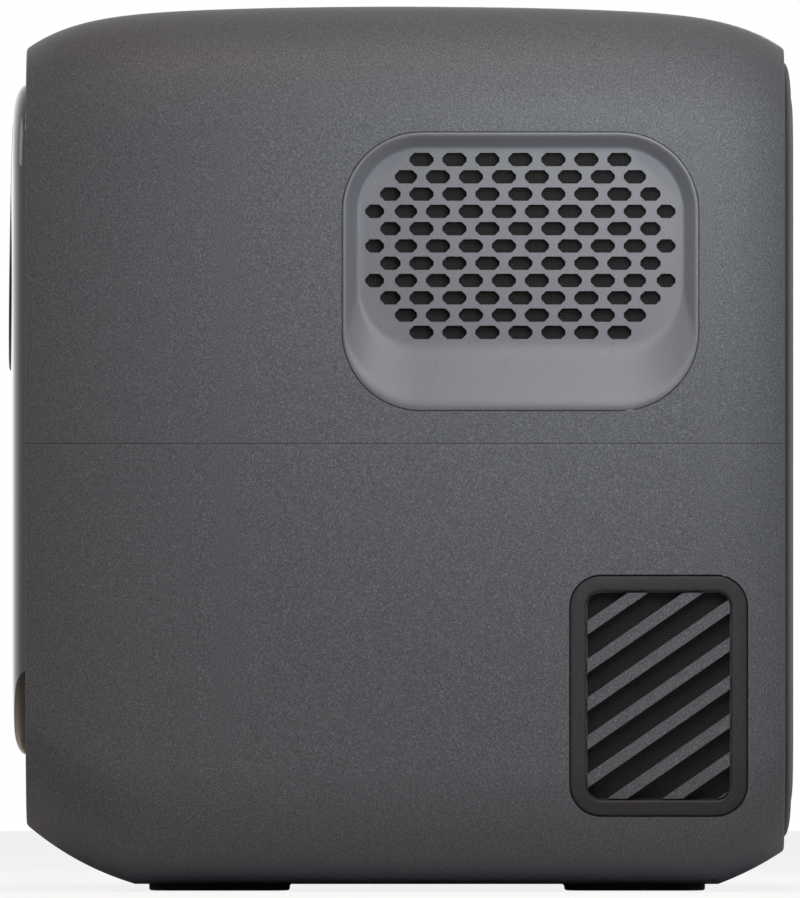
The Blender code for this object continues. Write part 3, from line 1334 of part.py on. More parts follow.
def make_fan(name, size, depth, wall, place):
    """Square fan frame with a round duct, hub and spokes, and its bladed rotor."""
    half = size / 2
    duct = half - wall
    hub = duct * FAN_HUB_SHARE
    square = rounded_outline((-half, -half), (half, half), wall, 2)
    frame = add_part(
        f"{name}_frame", plate_mesh([square], -depth / 2, depth / 2), BLACK_PLASTIC, place
    )
    far = depth / 2 + CUT_OVERRUN
    bore = rod_mesh((0, 0, -far), (0, 0, far), duct, 24)
    cut(frame, add_cutter(f"{name}_duct", bore, place))
    spoke_top = -depth / 2 + FAN_SPOKE_DEPTH
    stator = rod_mesh((0, 0, -depth / 2), (0, 0, spoke_top), hub, 16)
    fuse(frame, add_cutter(f"{name}_stator", stator, place))
    for order in range(FAN_SPOKES):
        turn = Matrix.Rotation(2 * math.pi * (order + 0.5) / FAN_SPOKES, 4, "Z")
        spoke = box_mesh(
            (hub / 2, -FAN_SPOKE_WIDTH / 2, -depth / 2),
            (duct + wall / 2, FAN_SPOKE_WIDTH / 2, spoke_top),
        )
        fuse(frame, add_cutter(f"{name}_spoke_{order}", spoke, place @ turn))
    low = spoke_top + GAP
    high = depth / 2 - FAN_SPOKE_DEPTH
    rotor = add_part(
        f"{name}_rotor", rod_mesh((0, 0, low), (0, 0, high), hub, 20), BLACK_PLASTIC, place
    )
    middle = Matrix.Translation((0, 0, (low + high) / 2))
    for order in range(FAN_BLADES):
        turn = 2 * math.pi * order / FAN_BLADES
        blade = blade_mesh(
            hub - FAN_BLADE_THICKNESS,
            duct - FAN_TIP_GAP,
            high - low - FAN_BLADE_THICKNESS,
            FAN_TWIST,
            FAN_BLADE_THICKNESS,
            turn,
        )
        fuse(rotor, add_cutter(f"{name}_blade_{order}", blade, place @ middle))


def make_main_board():
    """Main board with its heat sink and the sockets that reach into the port bay."""
    board = box_mesh(
        (-BOARD_HALF_WIDTH, BOARD_REAR - BOARD_THICKNESS, BOARD_LOW),
        (BOARD_HALF_WIDTH, BOARD_REAR, BOARD_HIGH),
    )
    add_part("main_board", board, BOARD_GREEN)
    front = BOARD_REAR - BOARD_THICKNESS - GAP
    half = CHIP_SINK_HALF
    base = box_mesh(
        (-half, front - CHIP_SINK_BASE, CHIP_SINK_HEIGHT - half),
        (half, front, CHIP_SINK_HEIGHT + half),
    )
    sink = add_part("board_heat_sink", base, ALUMINIUM)
    fins = []
    run = 2 * half - FIN_THICKNESS
    for order in range(CHIP_SINK_FINS):
        start = -half + run * order / (CHIP_SINK_FINS - 1)
        low = (start, CHIP_SINK_HEIGHT - half)
        high = (start + FIN_THICKNESS, CHIP_SINK_HEIGHT + half)
        fins.append([low, (high[0], low[1]), high, (low[0], high[1])])
    depth = CHIP_SINK_BASE / 2
    tool = plate_mesh(fins, -front + depth, -front + CHIP_SINK_DEPTH)
    fuse(sink, add_cutter("chip_fins", tool, FACING_FRONT))
    mouth = SLEEVE_REAR + REAR_PROUD - BAY_DEPTH - GAP
    for name, across, width, height in PORTS:
        low = (across - width / 2, BOARD_REAR + GAP, PORT_HEIGHT - height / 2)
        high = (across + width / 2, mouth, PORT_HEIGHT + height / 2)
        look = BLACK_PLASTIC if name in ("audio_jack", "dc_inlet") else STEEL
        port = add_part(name, box_mesh(low, high), look)
        if name in ("audio_jack", "dc_inlet"):
            radius = min(width, height) / 2 - PORT_WALL * 2
            start = (across, mouth - PORT_DEPTH, PORT_HEIGHT)
            hole = rod_mesh(start, (across, mouth + CUT_OVERRUN, PORT_HEIGHT), radius, 16)
        else:
            hole = box_mesh(
                (low[0] + PORT_WALL, mouth - PORT_DEPTH, low[2] + PORT_WALL),
                (high[0] - PORT_WALL, mouth + CUT_OVERRUN, high[2] - PORT_WALL),
            )
        cut(port, add_cutter(f"{name}_mouth", hole))
        tongue_end = mouth - PORT_TONGUE_INSET
        root = mouth - PORT_DEPTH - PORT_WALL / 2
        if name == "dc_inlet":
            pin = rod_mesh((across, root, PORT_HEIGHT), (across, tongue_end, PORT_HEIGHT), DC_PIN, 8)
            fuse(port, add_cutter("dc_pin", pin))
        elif name != "audio_jack":
            half = (width - 2 * PORT_WALL) / 2 - PORT_TONGUE_SIDE
            tongue = box_mesh(
                (across - half, root, PORT_HEIGHT - PORT_TONGUE / 2),
                (across + half, tongue_end, PORT_HEIGHT + PORT_TONGUE / 2),
            )
            fuse(port, add_cutter(f"{name}_tongue", tongue))


def make_power_board():
    """Power board on the left wall, with its transformer and two capacitors."""
    low = (POWER_BOARD_PLACE, POWER_BOARD_FRONT, POWER_BOARD_LOW)
    high = (POWER_BOARD_PLACE + BOARD_THICKNESS, POWER_BOARD_REAR, POWER_BOARD_HIGH)
    board = add_part("power_board", box_mesh(low, high), BOARD_GREEN)
    face = POWER_BOARD_PLACE + BOARD_THICKNESS / 2
    middle = (POWER_BOARD_LOW + POWER_BOARD_HIGH) / 2
    half = COIL_SIZE / 2
    along = POWER_BOARD_FRONT + COIL_SIZE
    coil = box_mesh(
        (face, along - half, middle - half), (face + COIL_HEIGHT, along + half, middle + half)
    )
    fuse(board, add_cutter("transformer", coil))
    for order in (-1, 1):
        up = middle + order * CAPACITOR_PLACE
        start = (face, POWER_BOARD_REAR - COIL_SIZE, up)
        end = (face + CAPACITOR_HEIGHT, POWER_BOARD_REAR - COIL_SIZE, up)
        fuse(board, add_cutter(f"capacitor_{order}", rod_mesh(start, end, CAPACITOR_RADIUS, 14)))


def make_speaker(side_name, side):
    """Speaker box behind the grille, its cone, and the black cloth between box and grille."""
    plate = grille_outlines()[1]
    cloth_face = SLEEVE_HALF_WIDTH - GRILLE_DISH_DEPTH - GRILLE_SKIN - GAP
    outline = rounded_outline(*plate, GRILLE_PLATE_CORNER, 4)
    low, high = sorted((side * cloth_face, side * (cloth_face - CLOTH_THICKNESS)))
    add_part(f"speaker_cloth_{side_name}", plate_mesh([outline], low, high), MESH_BLACK, FACING_SIDE)
    front = cloth_face - CLOTH_THICKNESS - GAP
    low, high = sorted((side * front, side * SPEAKER_BACK))
    body = rounded_outline(*grown(plate, -SPEAKER_MARGIN), SPEAKER_CORNER, 3)
    box = add_part(f"speaker_box_{side_name}", plate_mesh([body], low, high), BLACK_PLASTIC, FACING_SIDE)
    centre_y = (plate[0][0] + plate[1][0]) / 2
    centre_z = (plate[0][1] + plate[1][1]) / 2
    recess = rod_mesh(
        (side * (front - CONE_RECESS), centre_y, centre_z),
        (side * (front + CUT_OVERRUN), centre_y, centre_z),
        CONE_RADIUS + 2 * GAP,
        SMALL_ROUND_SIDES,
    )
    cut(box, add_cutter(f"cone_recess_{side_name}", recess))
    turn = Matrix.Rotation(math.radians(90 * side), 4, "Y")
    place = Matrix.Translation((side * (front - CONE_SUNK), centre_y, centre_z)) @ turn
    profile = (
        (0, -CONE_DEPTH + CONE_DOME),
        (CONE_RADIUS * CONE_DOME_SHARE, -CONE_DEPTH),
        (CONE_RADIUS - CONE_ROLL, -CONE_ROLL),
        (CONE_RADIUS - CONE_ROLL / 2, 0),
        (CONE_RADIUS, -CONE_ROLL),
        (CONE_RADIUS, -CONE_ROLL - CONE_SKIN),
        (CONE_RADIUS - CONE_ROLL, -CONE_ROLL - CONE_SKIN),
        (CONE_RADIUS * CONE_DOME_SHARE, -CONE_DEPTH - CONE_SKIN),
        (0, -CONE_DEPTH - CONE_SKIN),
    )
    turned_part(f"speaker_cone_{side_name}", profile, CONE_BLACK, SMALL_ROUND_SIDES, place)


def smooth_round_parts():
    """Shade the pieces smooth, with their real edges kept sharp."""
    for part in PARTS.objects:
        if part.type == "MESH":
            part.data.shade_smooth()
            part.data.set_sharp_from_angle(angle=SHARP_ANGLE)


def build():
    """Make every piece, case first and then what it holds."""
    make_upper_shell()
    make_lower_shell()
    make_feet()
    make_tripod_insert()
    make_case_screws()
    make_front()
    make_lens_ring()
    for side_name, side in (("left", -1), ("right", 1)):
        make_side_grille(f"side_grille_{side_name}", side)
        make_louvre(side_name, side)
        make_speaker(side_name, side)
    make_power_button()
    make_rear_panel()
    make_engine_base()
    make_engine_tower()
    make_engine_optics()
    make_mirror_hood()
    make_projection_lens()
    make_focus_drive()
    make_heat_sink()
    make_heat_pipes()
    fan_middle = (LOUVRE_FRONT + LOUVRE_REAR) / 2
    fan_level = (LOUVRE_LOW + LOUVRE_HIGH) / 2
    place = Matrix.Translation((FAN_INNER + FAN_DEPTH / 2, fan_middle, fan_level)) @ FACING_SIDE
    make_fan("fan", FAN_SIZE, FAN_DEPTH, FAN_WALL, place)
    rear = ENGINE_PLACE + TOWER_HALF_Y + GAP + ENGINE_FAN_DEPTH / 2
    level = (WINDOW_LOW + WINDOW_HIGH) / 2
    place = Matrix.Translation((0, rear, level)) @ FACING_FRONT
    make_fan("engine_fan", ENGINE_FAN_SIZE, ENGINE_FAN_DEPTH, ENGINE_FAN_WALL, place)
    make_main_board()
    make_power_board()
    smooth_round_parts()


build()
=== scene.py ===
"""Finish of a compact upright projector, laid out as a Blender add-on and run as a script."""

import math

import bmesh
import bpy
import numpy as np
from bpy.props import FloatProperty, FloatVectorProperty, IntProperty, PointerProperty
from bpy.types import Operator, Panel, PropertyGroup
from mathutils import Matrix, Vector


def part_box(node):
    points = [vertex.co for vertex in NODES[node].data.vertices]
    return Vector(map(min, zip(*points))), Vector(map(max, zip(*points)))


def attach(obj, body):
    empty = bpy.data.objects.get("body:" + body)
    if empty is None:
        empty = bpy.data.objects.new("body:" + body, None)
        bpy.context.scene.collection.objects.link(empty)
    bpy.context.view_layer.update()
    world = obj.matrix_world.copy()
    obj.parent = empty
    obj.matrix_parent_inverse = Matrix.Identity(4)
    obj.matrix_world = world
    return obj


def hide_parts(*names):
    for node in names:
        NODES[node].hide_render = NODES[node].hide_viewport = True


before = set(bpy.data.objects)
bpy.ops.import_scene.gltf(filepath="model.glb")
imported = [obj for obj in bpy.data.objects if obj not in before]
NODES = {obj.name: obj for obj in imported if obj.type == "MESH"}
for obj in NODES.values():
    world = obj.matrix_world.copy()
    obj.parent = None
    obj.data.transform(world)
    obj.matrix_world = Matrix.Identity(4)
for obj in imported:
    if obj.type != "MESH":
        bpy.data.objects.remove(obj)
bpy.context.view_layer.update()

bl_info = {
    "name": "Upright projector finish",
    "version": (1, 0, 0),
    "blender": (4, 5, 0),
    "location": "3D View > Sidebar > Projector",
    "description": "Builds the surfaces and finishes of a compact upright projector",
    "category": "Object",
}


def corners(node):
    """Lowest and highest corner of a solid, as arrays."""
    return [np.array(corner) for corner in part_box(node)]


SHELL_LOW, SHELL_HIGH = corners("upper_shell")
FLOOR_LOW, FLOOR_HIGH = corners("lower_shell")
GRILLE_LOW, GRILLE_HIGH = corners("side_grille_right")
LOUVRE_LOW, LOUVRE_HIGH = corners("louvre_frame_right")
PANEL_LOW, PANEL_HIGH = corners("front_panel")
RING_LOW, RING_HIGH = corners("lens_ring")
REAR_LOW, REAR_HIGH = corners("rear_panel")

FEET = ("foot_front_left", "foot_front_right", "foot_rear_left", "foot_rear_right")
SCREWS = tuple(foot.replace("foot", "case_screw") for foot in FEET)

# Sizes in metres, as in the solids. PAST is how far a cutting tool reaches past what it cuts,
# and POLE is the radius of the tiny cap at a turned piece's axis
GAP = 0.0003
HAIRLINE = 0.00006
EDGE = 0.0004
SOFT_EDGE = 0.0005
PAST = 0.003
POLE = 0.0001
SEAM_DRAW = 0.00012
SEAM_SOFT = 0.00008
SEAM_LAP = 0.0010
LENS_CENTRE = (RING_LOW + RING_HIGH) / 2
LENS_HOLE = (RING_HIGH[0] - RING_LOW[0]) / 2 + 2 * GAP

# Speaker grille: its rim, the sunk plate and the sound holes
GRILLE_CORNER = 0.0158
GRILLE_LEDGE = 0.0015
GRILLE_RIM = 0.0020
GRILLE_SPAN = (0.0585, 0.0670)
PLATE_MARGIN = 0.0033
PLATE_MARGIN_LOW = 0.0136
PLATE_MARGIN_TOP = 0.0034
PLATE_CORNER = 0.0125
DISH_DEPTH = 0.0036
DISH_SKIN = 0.0018
HOLE_MIDDLE = 0.1294
HOLE_PITCH = 0.0066
HOLE_ROW_PITCH = 0.00346
HOLE_LENGTH = 0.00485
HOLE_HEIGHT = 0.0027
HOLE_NOSE = 0.00095
HOLE_ROWS = (7, 8, 9, 10, 9, 10, 9, 10, 9, 8, 7)
HOLE_END_SHARES = {8: (0.92,), 9: (0.845,), 10: (0.78, 0.92)}

# Front panel and lens ring. QUICK_SHARE is the part of a panel's reach that its edge makes
QUICK_SHARE = 0.79
PANEL_CORNER = 0.0168
PANEL_PROUD = 0.0034
PANEL_EDGE = 0.0066
PANEL_DOME = 0.0300
RING_FRONT = 0.0786
RING_LEAN = math.radians(0.9)
RING_RADIUS = 0.02545
RING_DEPTH = 0.0060
RING_MOUTH = 0.0236
RING_THROAT = 0.0205
RING_SOFT = 0.0007
RING_BEVEL = 0.0004
RING_STEPS = 6
STEP_TREAD = 0.0001
LENS_EDGE = 0.0012

# Rear panel, its port bay and the ports' holes
REAR_SEAT = 0.0030
REAR_PROUD = 0.0018
REAR_EDGE = 0.0068
REAR_DOME = 0.0040
REAR_WALL = 0.0022
BAY_LOW, BAY_HIGH = (-0.0360, 0.0890), (0.0360, 0.1070)
BAY_CORNER = 0.004
BAY_DEPTH = 0.0035
PORT_CORNER = 0.0005
PORT_REACH = 0.02

# Vent: its frame, the slats with the rim behind the frame, and the black dust mesh, which is also painted
# shade: a dark sheet where the vent's inside lies in shade
VENT_CORNER = 0.0064
VENT_BORDER = 0.0033
VENT_SOFT = 0.0006
VENT_SUNK = 0.0003
VENT_FRAME_DEEP = 0.0022
VENT_SPAN = (0.0500, 0.0670)
SLAT_SPAN = (0.048, 0.070)
SLAT_RIM_INSET = 0.0008
SLAT_SUNK = 0.0008
SLAT_RIM = 0.0028
SLAT_DEEP = 0.0032
SLAT_RISE = math.radians(34.7)
SLAT_PITCH = 0.0063
SLAT_THICK = 0.0023
SLOT_START = 0.0542
MESH_INSET = 0.0012
MESH_SUNK = 0.0035
MESH_THICK = 0.0002

# Bosses, posts and holes. WALL_BITE is how deep a post runs into the wall that carries it
WALL_BITE = 0.0012
BOSS_RADIUS = 0.0040
BOSS_HEIGHT = 0.0090
BORE_RADIUS = 0.0021
BORE_REACH = 0.0120
POST_RADIUS = 0.0025
BASE_POST_INSET = 0.004
BOARD_POST_INSET = 0.005
TRIPOD_BOSS = 0.0073
TRIPOD_RADIUS = 0.0048
TRIPOD_REACH = 0.020
FOOT_CORNER = 0.0055
FOOT_SEAT = 0.0008
ROOF_SPAN = (0.170, 0.185)
BUTTON_POST_LOW = 0.1653 + GAP
BUTTON_RADIUS = 0.0070
BUTTON_CAP = 0.0025
BUTTON_SKIRT = 0.0012
BUTTON_SKIRT_OUT = 0.0014
BUTTON_STEM = 0.0020
BUTTON_DISH = 0.0003

# Lamps: name, place and width in metres, watts and tint
LAMPS = (
    ("side_light", (0.190, 0.055, 0.170), 0.10, 0.22, "#ffffff"),
    ("far_side_light", (-0.190, 0.055, 0.170), 0.10, 0.22, "#ffffff"),
    ("front_light", (0.0, -1.6, 0.7), 1.0, 5, "#ffffff"),
    ("rear_light", (0.1, 1.6, 0.5), 0.8, 2.5, "#ffffff"),
    ("top_light", (0.30, -0.05, 0.72), 0.3, 1.7, "#ffd9b0"),
)
LAMP_TARGET = (0, 0, 0.09)
CAMERA_DISTANCE = 6.0
CAMERA_HEIGHT = 0.08876
FRAME_HEIGHT = 0.1796
FILM_WIDTH = 36
FLOOR_RADIUS = 0.9


def linear(code):
    """Linear RGB of an sRGB hex colour."""
    channels = np.array([int(code[place:place + 2], 16) for place in (1, 3, 5)]) / 255
    return tuple(np.where(channels <= 0.04045, channels / 12.92, ((channels + 0.055) / 1.055) ** 2.4))


# Sizes of the case, as in the solids
class CaseSizes(PropertyGroup):
    """Sizes of the moulded sleeve and of its two end panels."""

    wall: FloatProperty(name="Wall", description="Wall of the shells", default=0.0025, unit="LENGTH")
    corner: FloatProperty(
        name="Corner", description="Radius of the sleeve's long corners", default=0.0240, unit="LENGTH"
    )
    top_drop: FloatProperty(
        name="Top drop", description="Fall of the crown at both ends", default=0.0084, unit="LENGTH"
    )
    side_draw_front: FloatProperty(
        name="Front draw", description="How far each side draws in at the front", default=0.0070,
        unit="LENGTH",
    )
    side_draw_rear: FloatProperty(
        name="Rear draw", description="How far each side draws in at the rear", default=0.0052,
        unit="LENGTH",
    )
    floor_front: FloatProperty(
        name="Front sweep", description="Where the flat underside ends in front", default=0.0532,
        unit="LENGTH",
    )
    floor_rear: FloatProperty(
        name="Rear sweep", description="Where the flat underside ends behind", default=0.0639,
        unit="LENGTH",
    )
    front_lip: FloatProperty(
        name="Front lip", description="Height of the front lower edge", default=0.0132, unit="LENGTH"
    )
    rear_lip: FloatProperty(
        name="Rear lip", description="Height of the rear lower edge", default=0.0081, unit="LENGTH"
    )
    rows: IntProperty(name="Rows", description="Sections along the sleeve", default=150, min=20)


class CaseColours(PropertyGroup):
    """Colours of what shows."""

    case: FloatVectorProperty(
        name="Case", description="Space grey paint", subtype="COLOR", default=linear("#565a61")
    )
    grille: FloatVectorProperty(
        name="Grille", description="Satin grille moulding", subtype="COLOR", default=linear("#60646c")
    )


def sizes():
    """The case sizes in the scene."""
    return bpy.context.scene.projector_sizes


def colours():
    """The finish colours in the scene."""
    return bpy.context.scene.projector_colours


def end_corner():
    """Corner radius of what closes the sleeve's ends."""
    return sizes().corner - sizes().wall - GAP


# Meshes worked out on grids

def grid_piece(name, points, wrap_rows=False, wrap_columns=False, caps=False):
    """Piece from a (rows, columns, 3) array: each cell of four neighbours is one face."""
    rows, columns = points.shape[:2]
    index = np.arange(rows * columns).reshape(rows, columns)
    if wrap_columns:
        index = np.concatenate([index, index[:, :1]], axis=1)
    if wrap_rows:
        index = np.concatenate([index, index[:1]], axis=0)
    cells = (index[:-1, :-1], index[:-1, 1:], index[1:, 1:], index[1:, :-1])
    faces = np.stack(cells, axis=-1).reshape(-1, 4).tolist()
    if caps:
        near = np.arange(columns)
        far = near + (rows - 1) * columns
        faces += [near[::-1].tolist(), far.tolist()]
    mesh = bpy.data.meshes.new(name)
    mesh.from_pydata(points.reshape(-1, 3).tolist(), [], faces)
    mesh.update()
    piece = bpy.data.objects.new(name, mesh)
    bpy.context.scene.collection.objects.link(piece)
    mesh.shade_smooth()
    mesh.set_sharp_from_angle(angle=math.radians(35))
    return piece


def apply_modifiers(piece):
    """Turn a piece's modifiers into its mesh."""
    seen = piece.evaluated_get(bpy.context.evaluated_depsgraph_get())
    mesh = bpy.data.meshes.new_from_object(seen)
    piece.modifiers.clear()
    piece.data = mesh
    mesh.shade_smooth()
    mesh.set_sharp_from_angle(angle=math.radians(35))


def carve(piece, tools, operation="DIFFERENCE"):
    """Cut a piece with closed tools, by exact Booleans, and remove the tools."""
    for tool in tools:
        step = piece.modifiers.new("carve", "BOOLEAN")
        step.operation = operation
        step.solver = "EXACT"
        step.object = tool
    apply_modifiers(piece)
    for tool in tools:
        bpy.data.objects.remove(tool, do_unlink=True)


def dress(piece, node_names, body, material):
    """Let a finished piece stand for CAD nodes, on their body, with its material."""
    piece.data.materials.clear()
    piece.data.materials.append(material)
    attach(piece, body)
    if node_names:
        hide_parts(*node_names)


def rounded_outline(low, high, radius, steps=16):
    """Rounded rectangle (points, 2), anticlockwise: corner centres plus a turning radius."""
    angle = np.radians(np.linspace(0, 90, steps + 1))
    turns = []
    centres = (
        (high[0] - radius, low[1] + radius, -90), (high[0] - radius, high[1] - radius, 0),
        (low[0] + radius, high[1] - radius, 90), (low[0] + radius, low[1] + radius, 180),
    )
    for across, up, first in centres:
        turn = angle + math.radians(first)
        turns.append(np.stack([across + radius * np.cos(turn), up + radius * np.sin(turn)], -1))
    return np.concatenate(turns)


def rounded_rings(low, high, radius, insets, levels, axis, steps=16):
    """Rounded rectangles, each drawn in by an inset and laid at a level along X, Y or Z."""
    rings = []
    for inset, level in zip(insets, levels):
        outline = rounded_outline(low + inset, high - inset, radius - inset, steps)
        rings.append(np.insert(outline, axis, level, axis=1))
    return np.array(rings)


def facing_out(piece):
    """Turn a closed piece's faces outwards."""
    builder = bmesh.new()
    builder.from_mesh(piece.data)
    bmesh.ops.recalc_face_normals(builder, faces=builder.faces)
    builder.to_mesh(piece.data)
    builder.free()
    return piece


def closed_piece(name, rings):
    """Closed piece from rings of points: a band between each two, and a cap at both ends."""
    return facing_out(grid_piece(name, rings, wrap_columns=True, caps=True))


def prism(name, outline, low, high, axis):
    """Closed prism: an outline carried from low to high along X, Y or Z."""
    rings = [np.insert(outline, axis, level, axis=1) for level in (low, high)]
    return closed_piece(name, np.array(rings))


def post(name, start, end, radius, sides=12):
    """Closed rod along X, Y or Z from start to end."""
    start, end = np.array(start, float), np.array(end, float)
    axis = int(np.argmax(np.abs(end - start)))
    others = [other for other in range(3) if other != axis]
    angle = np.linspace(0, 2 * math.pi, sides, endpoint=False)
    circle = start[others] + radius * np.stack([np.cos(angle), np.sin(angle)], axis=-1)
    return prism(name, circle, *sorted((start[axis], end[axis])), axis)


# The sleeve's surface, as in the solids

def half_width(place):
    """Half the width along Y: it draws in with power 5 in front and power 16 behind."""
    s = sizes()
    front = s.side_draw_front * np.abs(np.minimum(place, 0) / FLOOR_LOW[1]) ** 5
    rear = s.side_draw_rear * (np.maximum(place, 0) / FLOOR_HIGH[1]) ** 16
    return FLOOR_HIGH[0] - front - rear


def top_height(place):
    """Crown along Y: a soft parabola mixed with an eighth power at both ends."""
    share = np.abs(np.where(place < 0, place / SHELL_LOW[1], place / SHELL_HIGH[1]))
    return SHELL_HIGH[2] - sizes().top_drop * (0.28 * share**2 + 0.72 * share**8)


def floor_height(place):
    """Underside along Y: flat, and swept up with the fourth power at both ends."""
    s = sizes()
    front = place < 0
    reach = np.where(front, -FLOOR_LOW[1], FLOOR_HIGH[1])
    flat = np.where(front, s.floor_front, s.floor_rear)
    lip = np.where(front, s.front_lip, s.rear_lip)
    rise = (lip - FLOOR_LOW[2]) / (1 - (flat / reach) ** 4)
    return np.maximum(FLOOR_LOW[2], lip - rise * (1 - np.abs(place / reach) ** 4))


def side_reach(along, up):
    """Outer surface's X at places in Y and Z: flat side, then the lower corner's arc."""
    corner = sizes().corner
    side = half_width(along)
    below = np.clip(floor_height(along) + corner - up, 0, corner)
    return side - corner + np.sqrt(corner**2 - below**2)


def half_ring(places, inset, upper, rim, steps=22):
    """Half sections (places, points, 3): rim, quarter arc, flat, quarter arc, rim.

    The rim holds pairs of a further inset and a level, from the parting line on.
    """
    s = sizes()
    angle = np.radians(np.linspace(0, 90, steps + 1))
    radius = s.corner - inset[:, None]
    side = (half_width(places) - s.corner)[:, None]
    sign = 1 if upper else -1
    level = (top_height(places) - s.corner if upper else floor_height(places) + s.corner)[:, None]
    rim_inset, rim_level = np.array(rim).T
    rim_across = side + radius - rim_inset
    rim_up = np.broadcast_to(rim_level, rim_across.shape)
    across = np.concatenate([rim_across, side + radius * np.cos(angle)], axis=1)
    up = np.concatenate([rim_up, level + sign * radius * np.sin(angle)], axis=1)
    across = np.concatenate([across, -across[:, ::-1]], axis=1)
    up = np.concatenate([up, up[:, ::-1]], axis=1)
    along = np.broadcast_to(places[:, None], across.shape)
    return np.stack([across, along, up], axis=-1)


def sleeve_places(soft):
    """Places along Y, closer together towards the ends, with a rounded edge of radius soft."""
    eased = np.sin(np.linspace(-1, 1, sizes().rows) * math.pi / 2)
    places = np.where(eased < 0, -FLOOR_LOW[1] * eased, FLOOR_HIGH[1] * eased)
    kinks = (-sizes().floor_front, sizes().floor_rear)
    ends = np.array([0.15, 0.5, 1.0]) * soft
    extra = (*kinks, *(FLOOR_LOW[1] + ends), *(FLOOR_HIGH[1] - ends))
    return np.unique(np.concatenate([places, extra]))


def shell_piece(name, upper):
    """Closed shell with softened ends, and a lapped parting line.

    The upper wall's inner half hangs a tongue below the line, and the lower wall makes room
    for it. The outer skins meet with a hairline gap.
    """
    s = sizes()
    places = sleeve_places(EDGE)
    from_end = np.minimum(places - FLOOR_LOW[1], FLOOR_HIGH[1] - places)
    near = np.clip(EDGE - from_end, 0, EDGE)
    outer = EDGE - np.sqrt(EDGE**2 - near**2)
    sign = 1 if upper else -1
    seam = (SHELL_LOW[2] if upper else FLOOR_HIGH[2]) - sign * SEAM_DRAW
    lap = seam - (SEAM_LAP if upper else SEAM_LAP + GAP)
    # The last of the rim's rows lies on the flat side, and keeps its shading flat
    shares = ((1, 0), (0.3, 0.3), (0, 1), (0, 5))
    rim = [(draw * SEAM_SOFT, seam + sign * rise * SEAM_SOFT) for draw, rise in shares]
    outside = half_ring(places, outer, upper, rim)
    inside = half_ring(places, np.full(len(places), s.wall), upper, [(0, lap)])
    step = half_width(places)[:, None] - s.wall / 2 - sign * GAP / 2
    ledge = np.broadcast_to([seam, lap], (len(places), 2))
    along = np.broadcast_to(places[:, None], ledge.shape)
    across = np.broadcast_to(step, ledge.shape)
    left = np.stack([-across, along, ledge], axis=-1)
    right = np.stack([across, along, ledge], axis=-1)[:, ::-1]
    return closed_piece(name, np.concatenate([outside, left, inside[:, ::-1], right], axis=1))


# Speaker grille

def eased_wall(count, fillet):
    """Share and rise of a sloped wall whose slope starts and ends in fillets."""
    share = np.linspace(0, 1, count)
    fine = np.linspace(0, 1, 400)
    slope = np.minimum(np.minimum(fine, 1 - fine) / fillet, 1)
    rise = np.cumsum(slope)
    return share, np.interp(share, fine, (rise - rise[0]) / (rise[-1] - rise[0]))


def obround(length, height, nose, steps=3):
    """Sound hole outline: a rectangle with softened 45 degree corners."""
    half, tall = length / 2, height / 2
    shape = np.array([
        (half, nose - tall), (half, tall - nose), (half - nose, tall), (nose - half, tall),
        (-half, tall - nose), (-half, nose - tall), (nose - half, -tall), (half - nose, -tall),
    ])
    before, after = np.roll(shape, 1, axis=0), np.roll(shape, -1, axis=0)
    share = np.linspace(-1, 1, steps)[:, None, None] * 0.18
    soft = np.where(share < 0, shape - (before - shape) * share, shape + (after - shape) * share)
    return soft.transpose(1, 0, 2).reshape(-1, 2)


def hole_outlines():
    """Staggered rows of sound holes, whose end holes are shorter where the corners close in."""
    centre = np.array([(GRILLE_LOW[1] + GRILLE_HIGH[1]) / 2, HOLE_MIDDLE])
    outlines = []
    for row, count in enumerate(HOLE_ROWS):
        shares = HOLE_END_SHARES.get(count, ())
        for order in range(count):
            step = order - (count - 1) / 2
            near = min(order, count - 1 - order)
            length = HOLE_LENGTH * (shares[near] if near < len(shares) else 1)
            trim = math.copysign((HOLE_LENGTH - length) / 2, step)
            rise = (row - (len(HOLE_ROWS) - 1) / 2) * HOLE_ROW_PITCH
            place = centre + (step * HOLE_PITCH - trim, rise)
            outlines.append(place + obround(length, HOLE_HEIGHT, HOLE_NOSE))
    return outlines


def joined(pieces, name):
    """One object from several closed pieces that don't touch, which are removed."""
    builder = bmesh.new()
    for piece in pieces:
        builder.from_mesh(piece.data)
        bpy.data.objects.remove(piece, do_unlink=True)
    mesh = bpy.data.meshes.new(name)
    builder.to_mesh(mesh)
    builder.free()
    made = bpy.data.objects.new(name, mesh)
    bpy.context.scene.collection.objects.link(made)
    return made


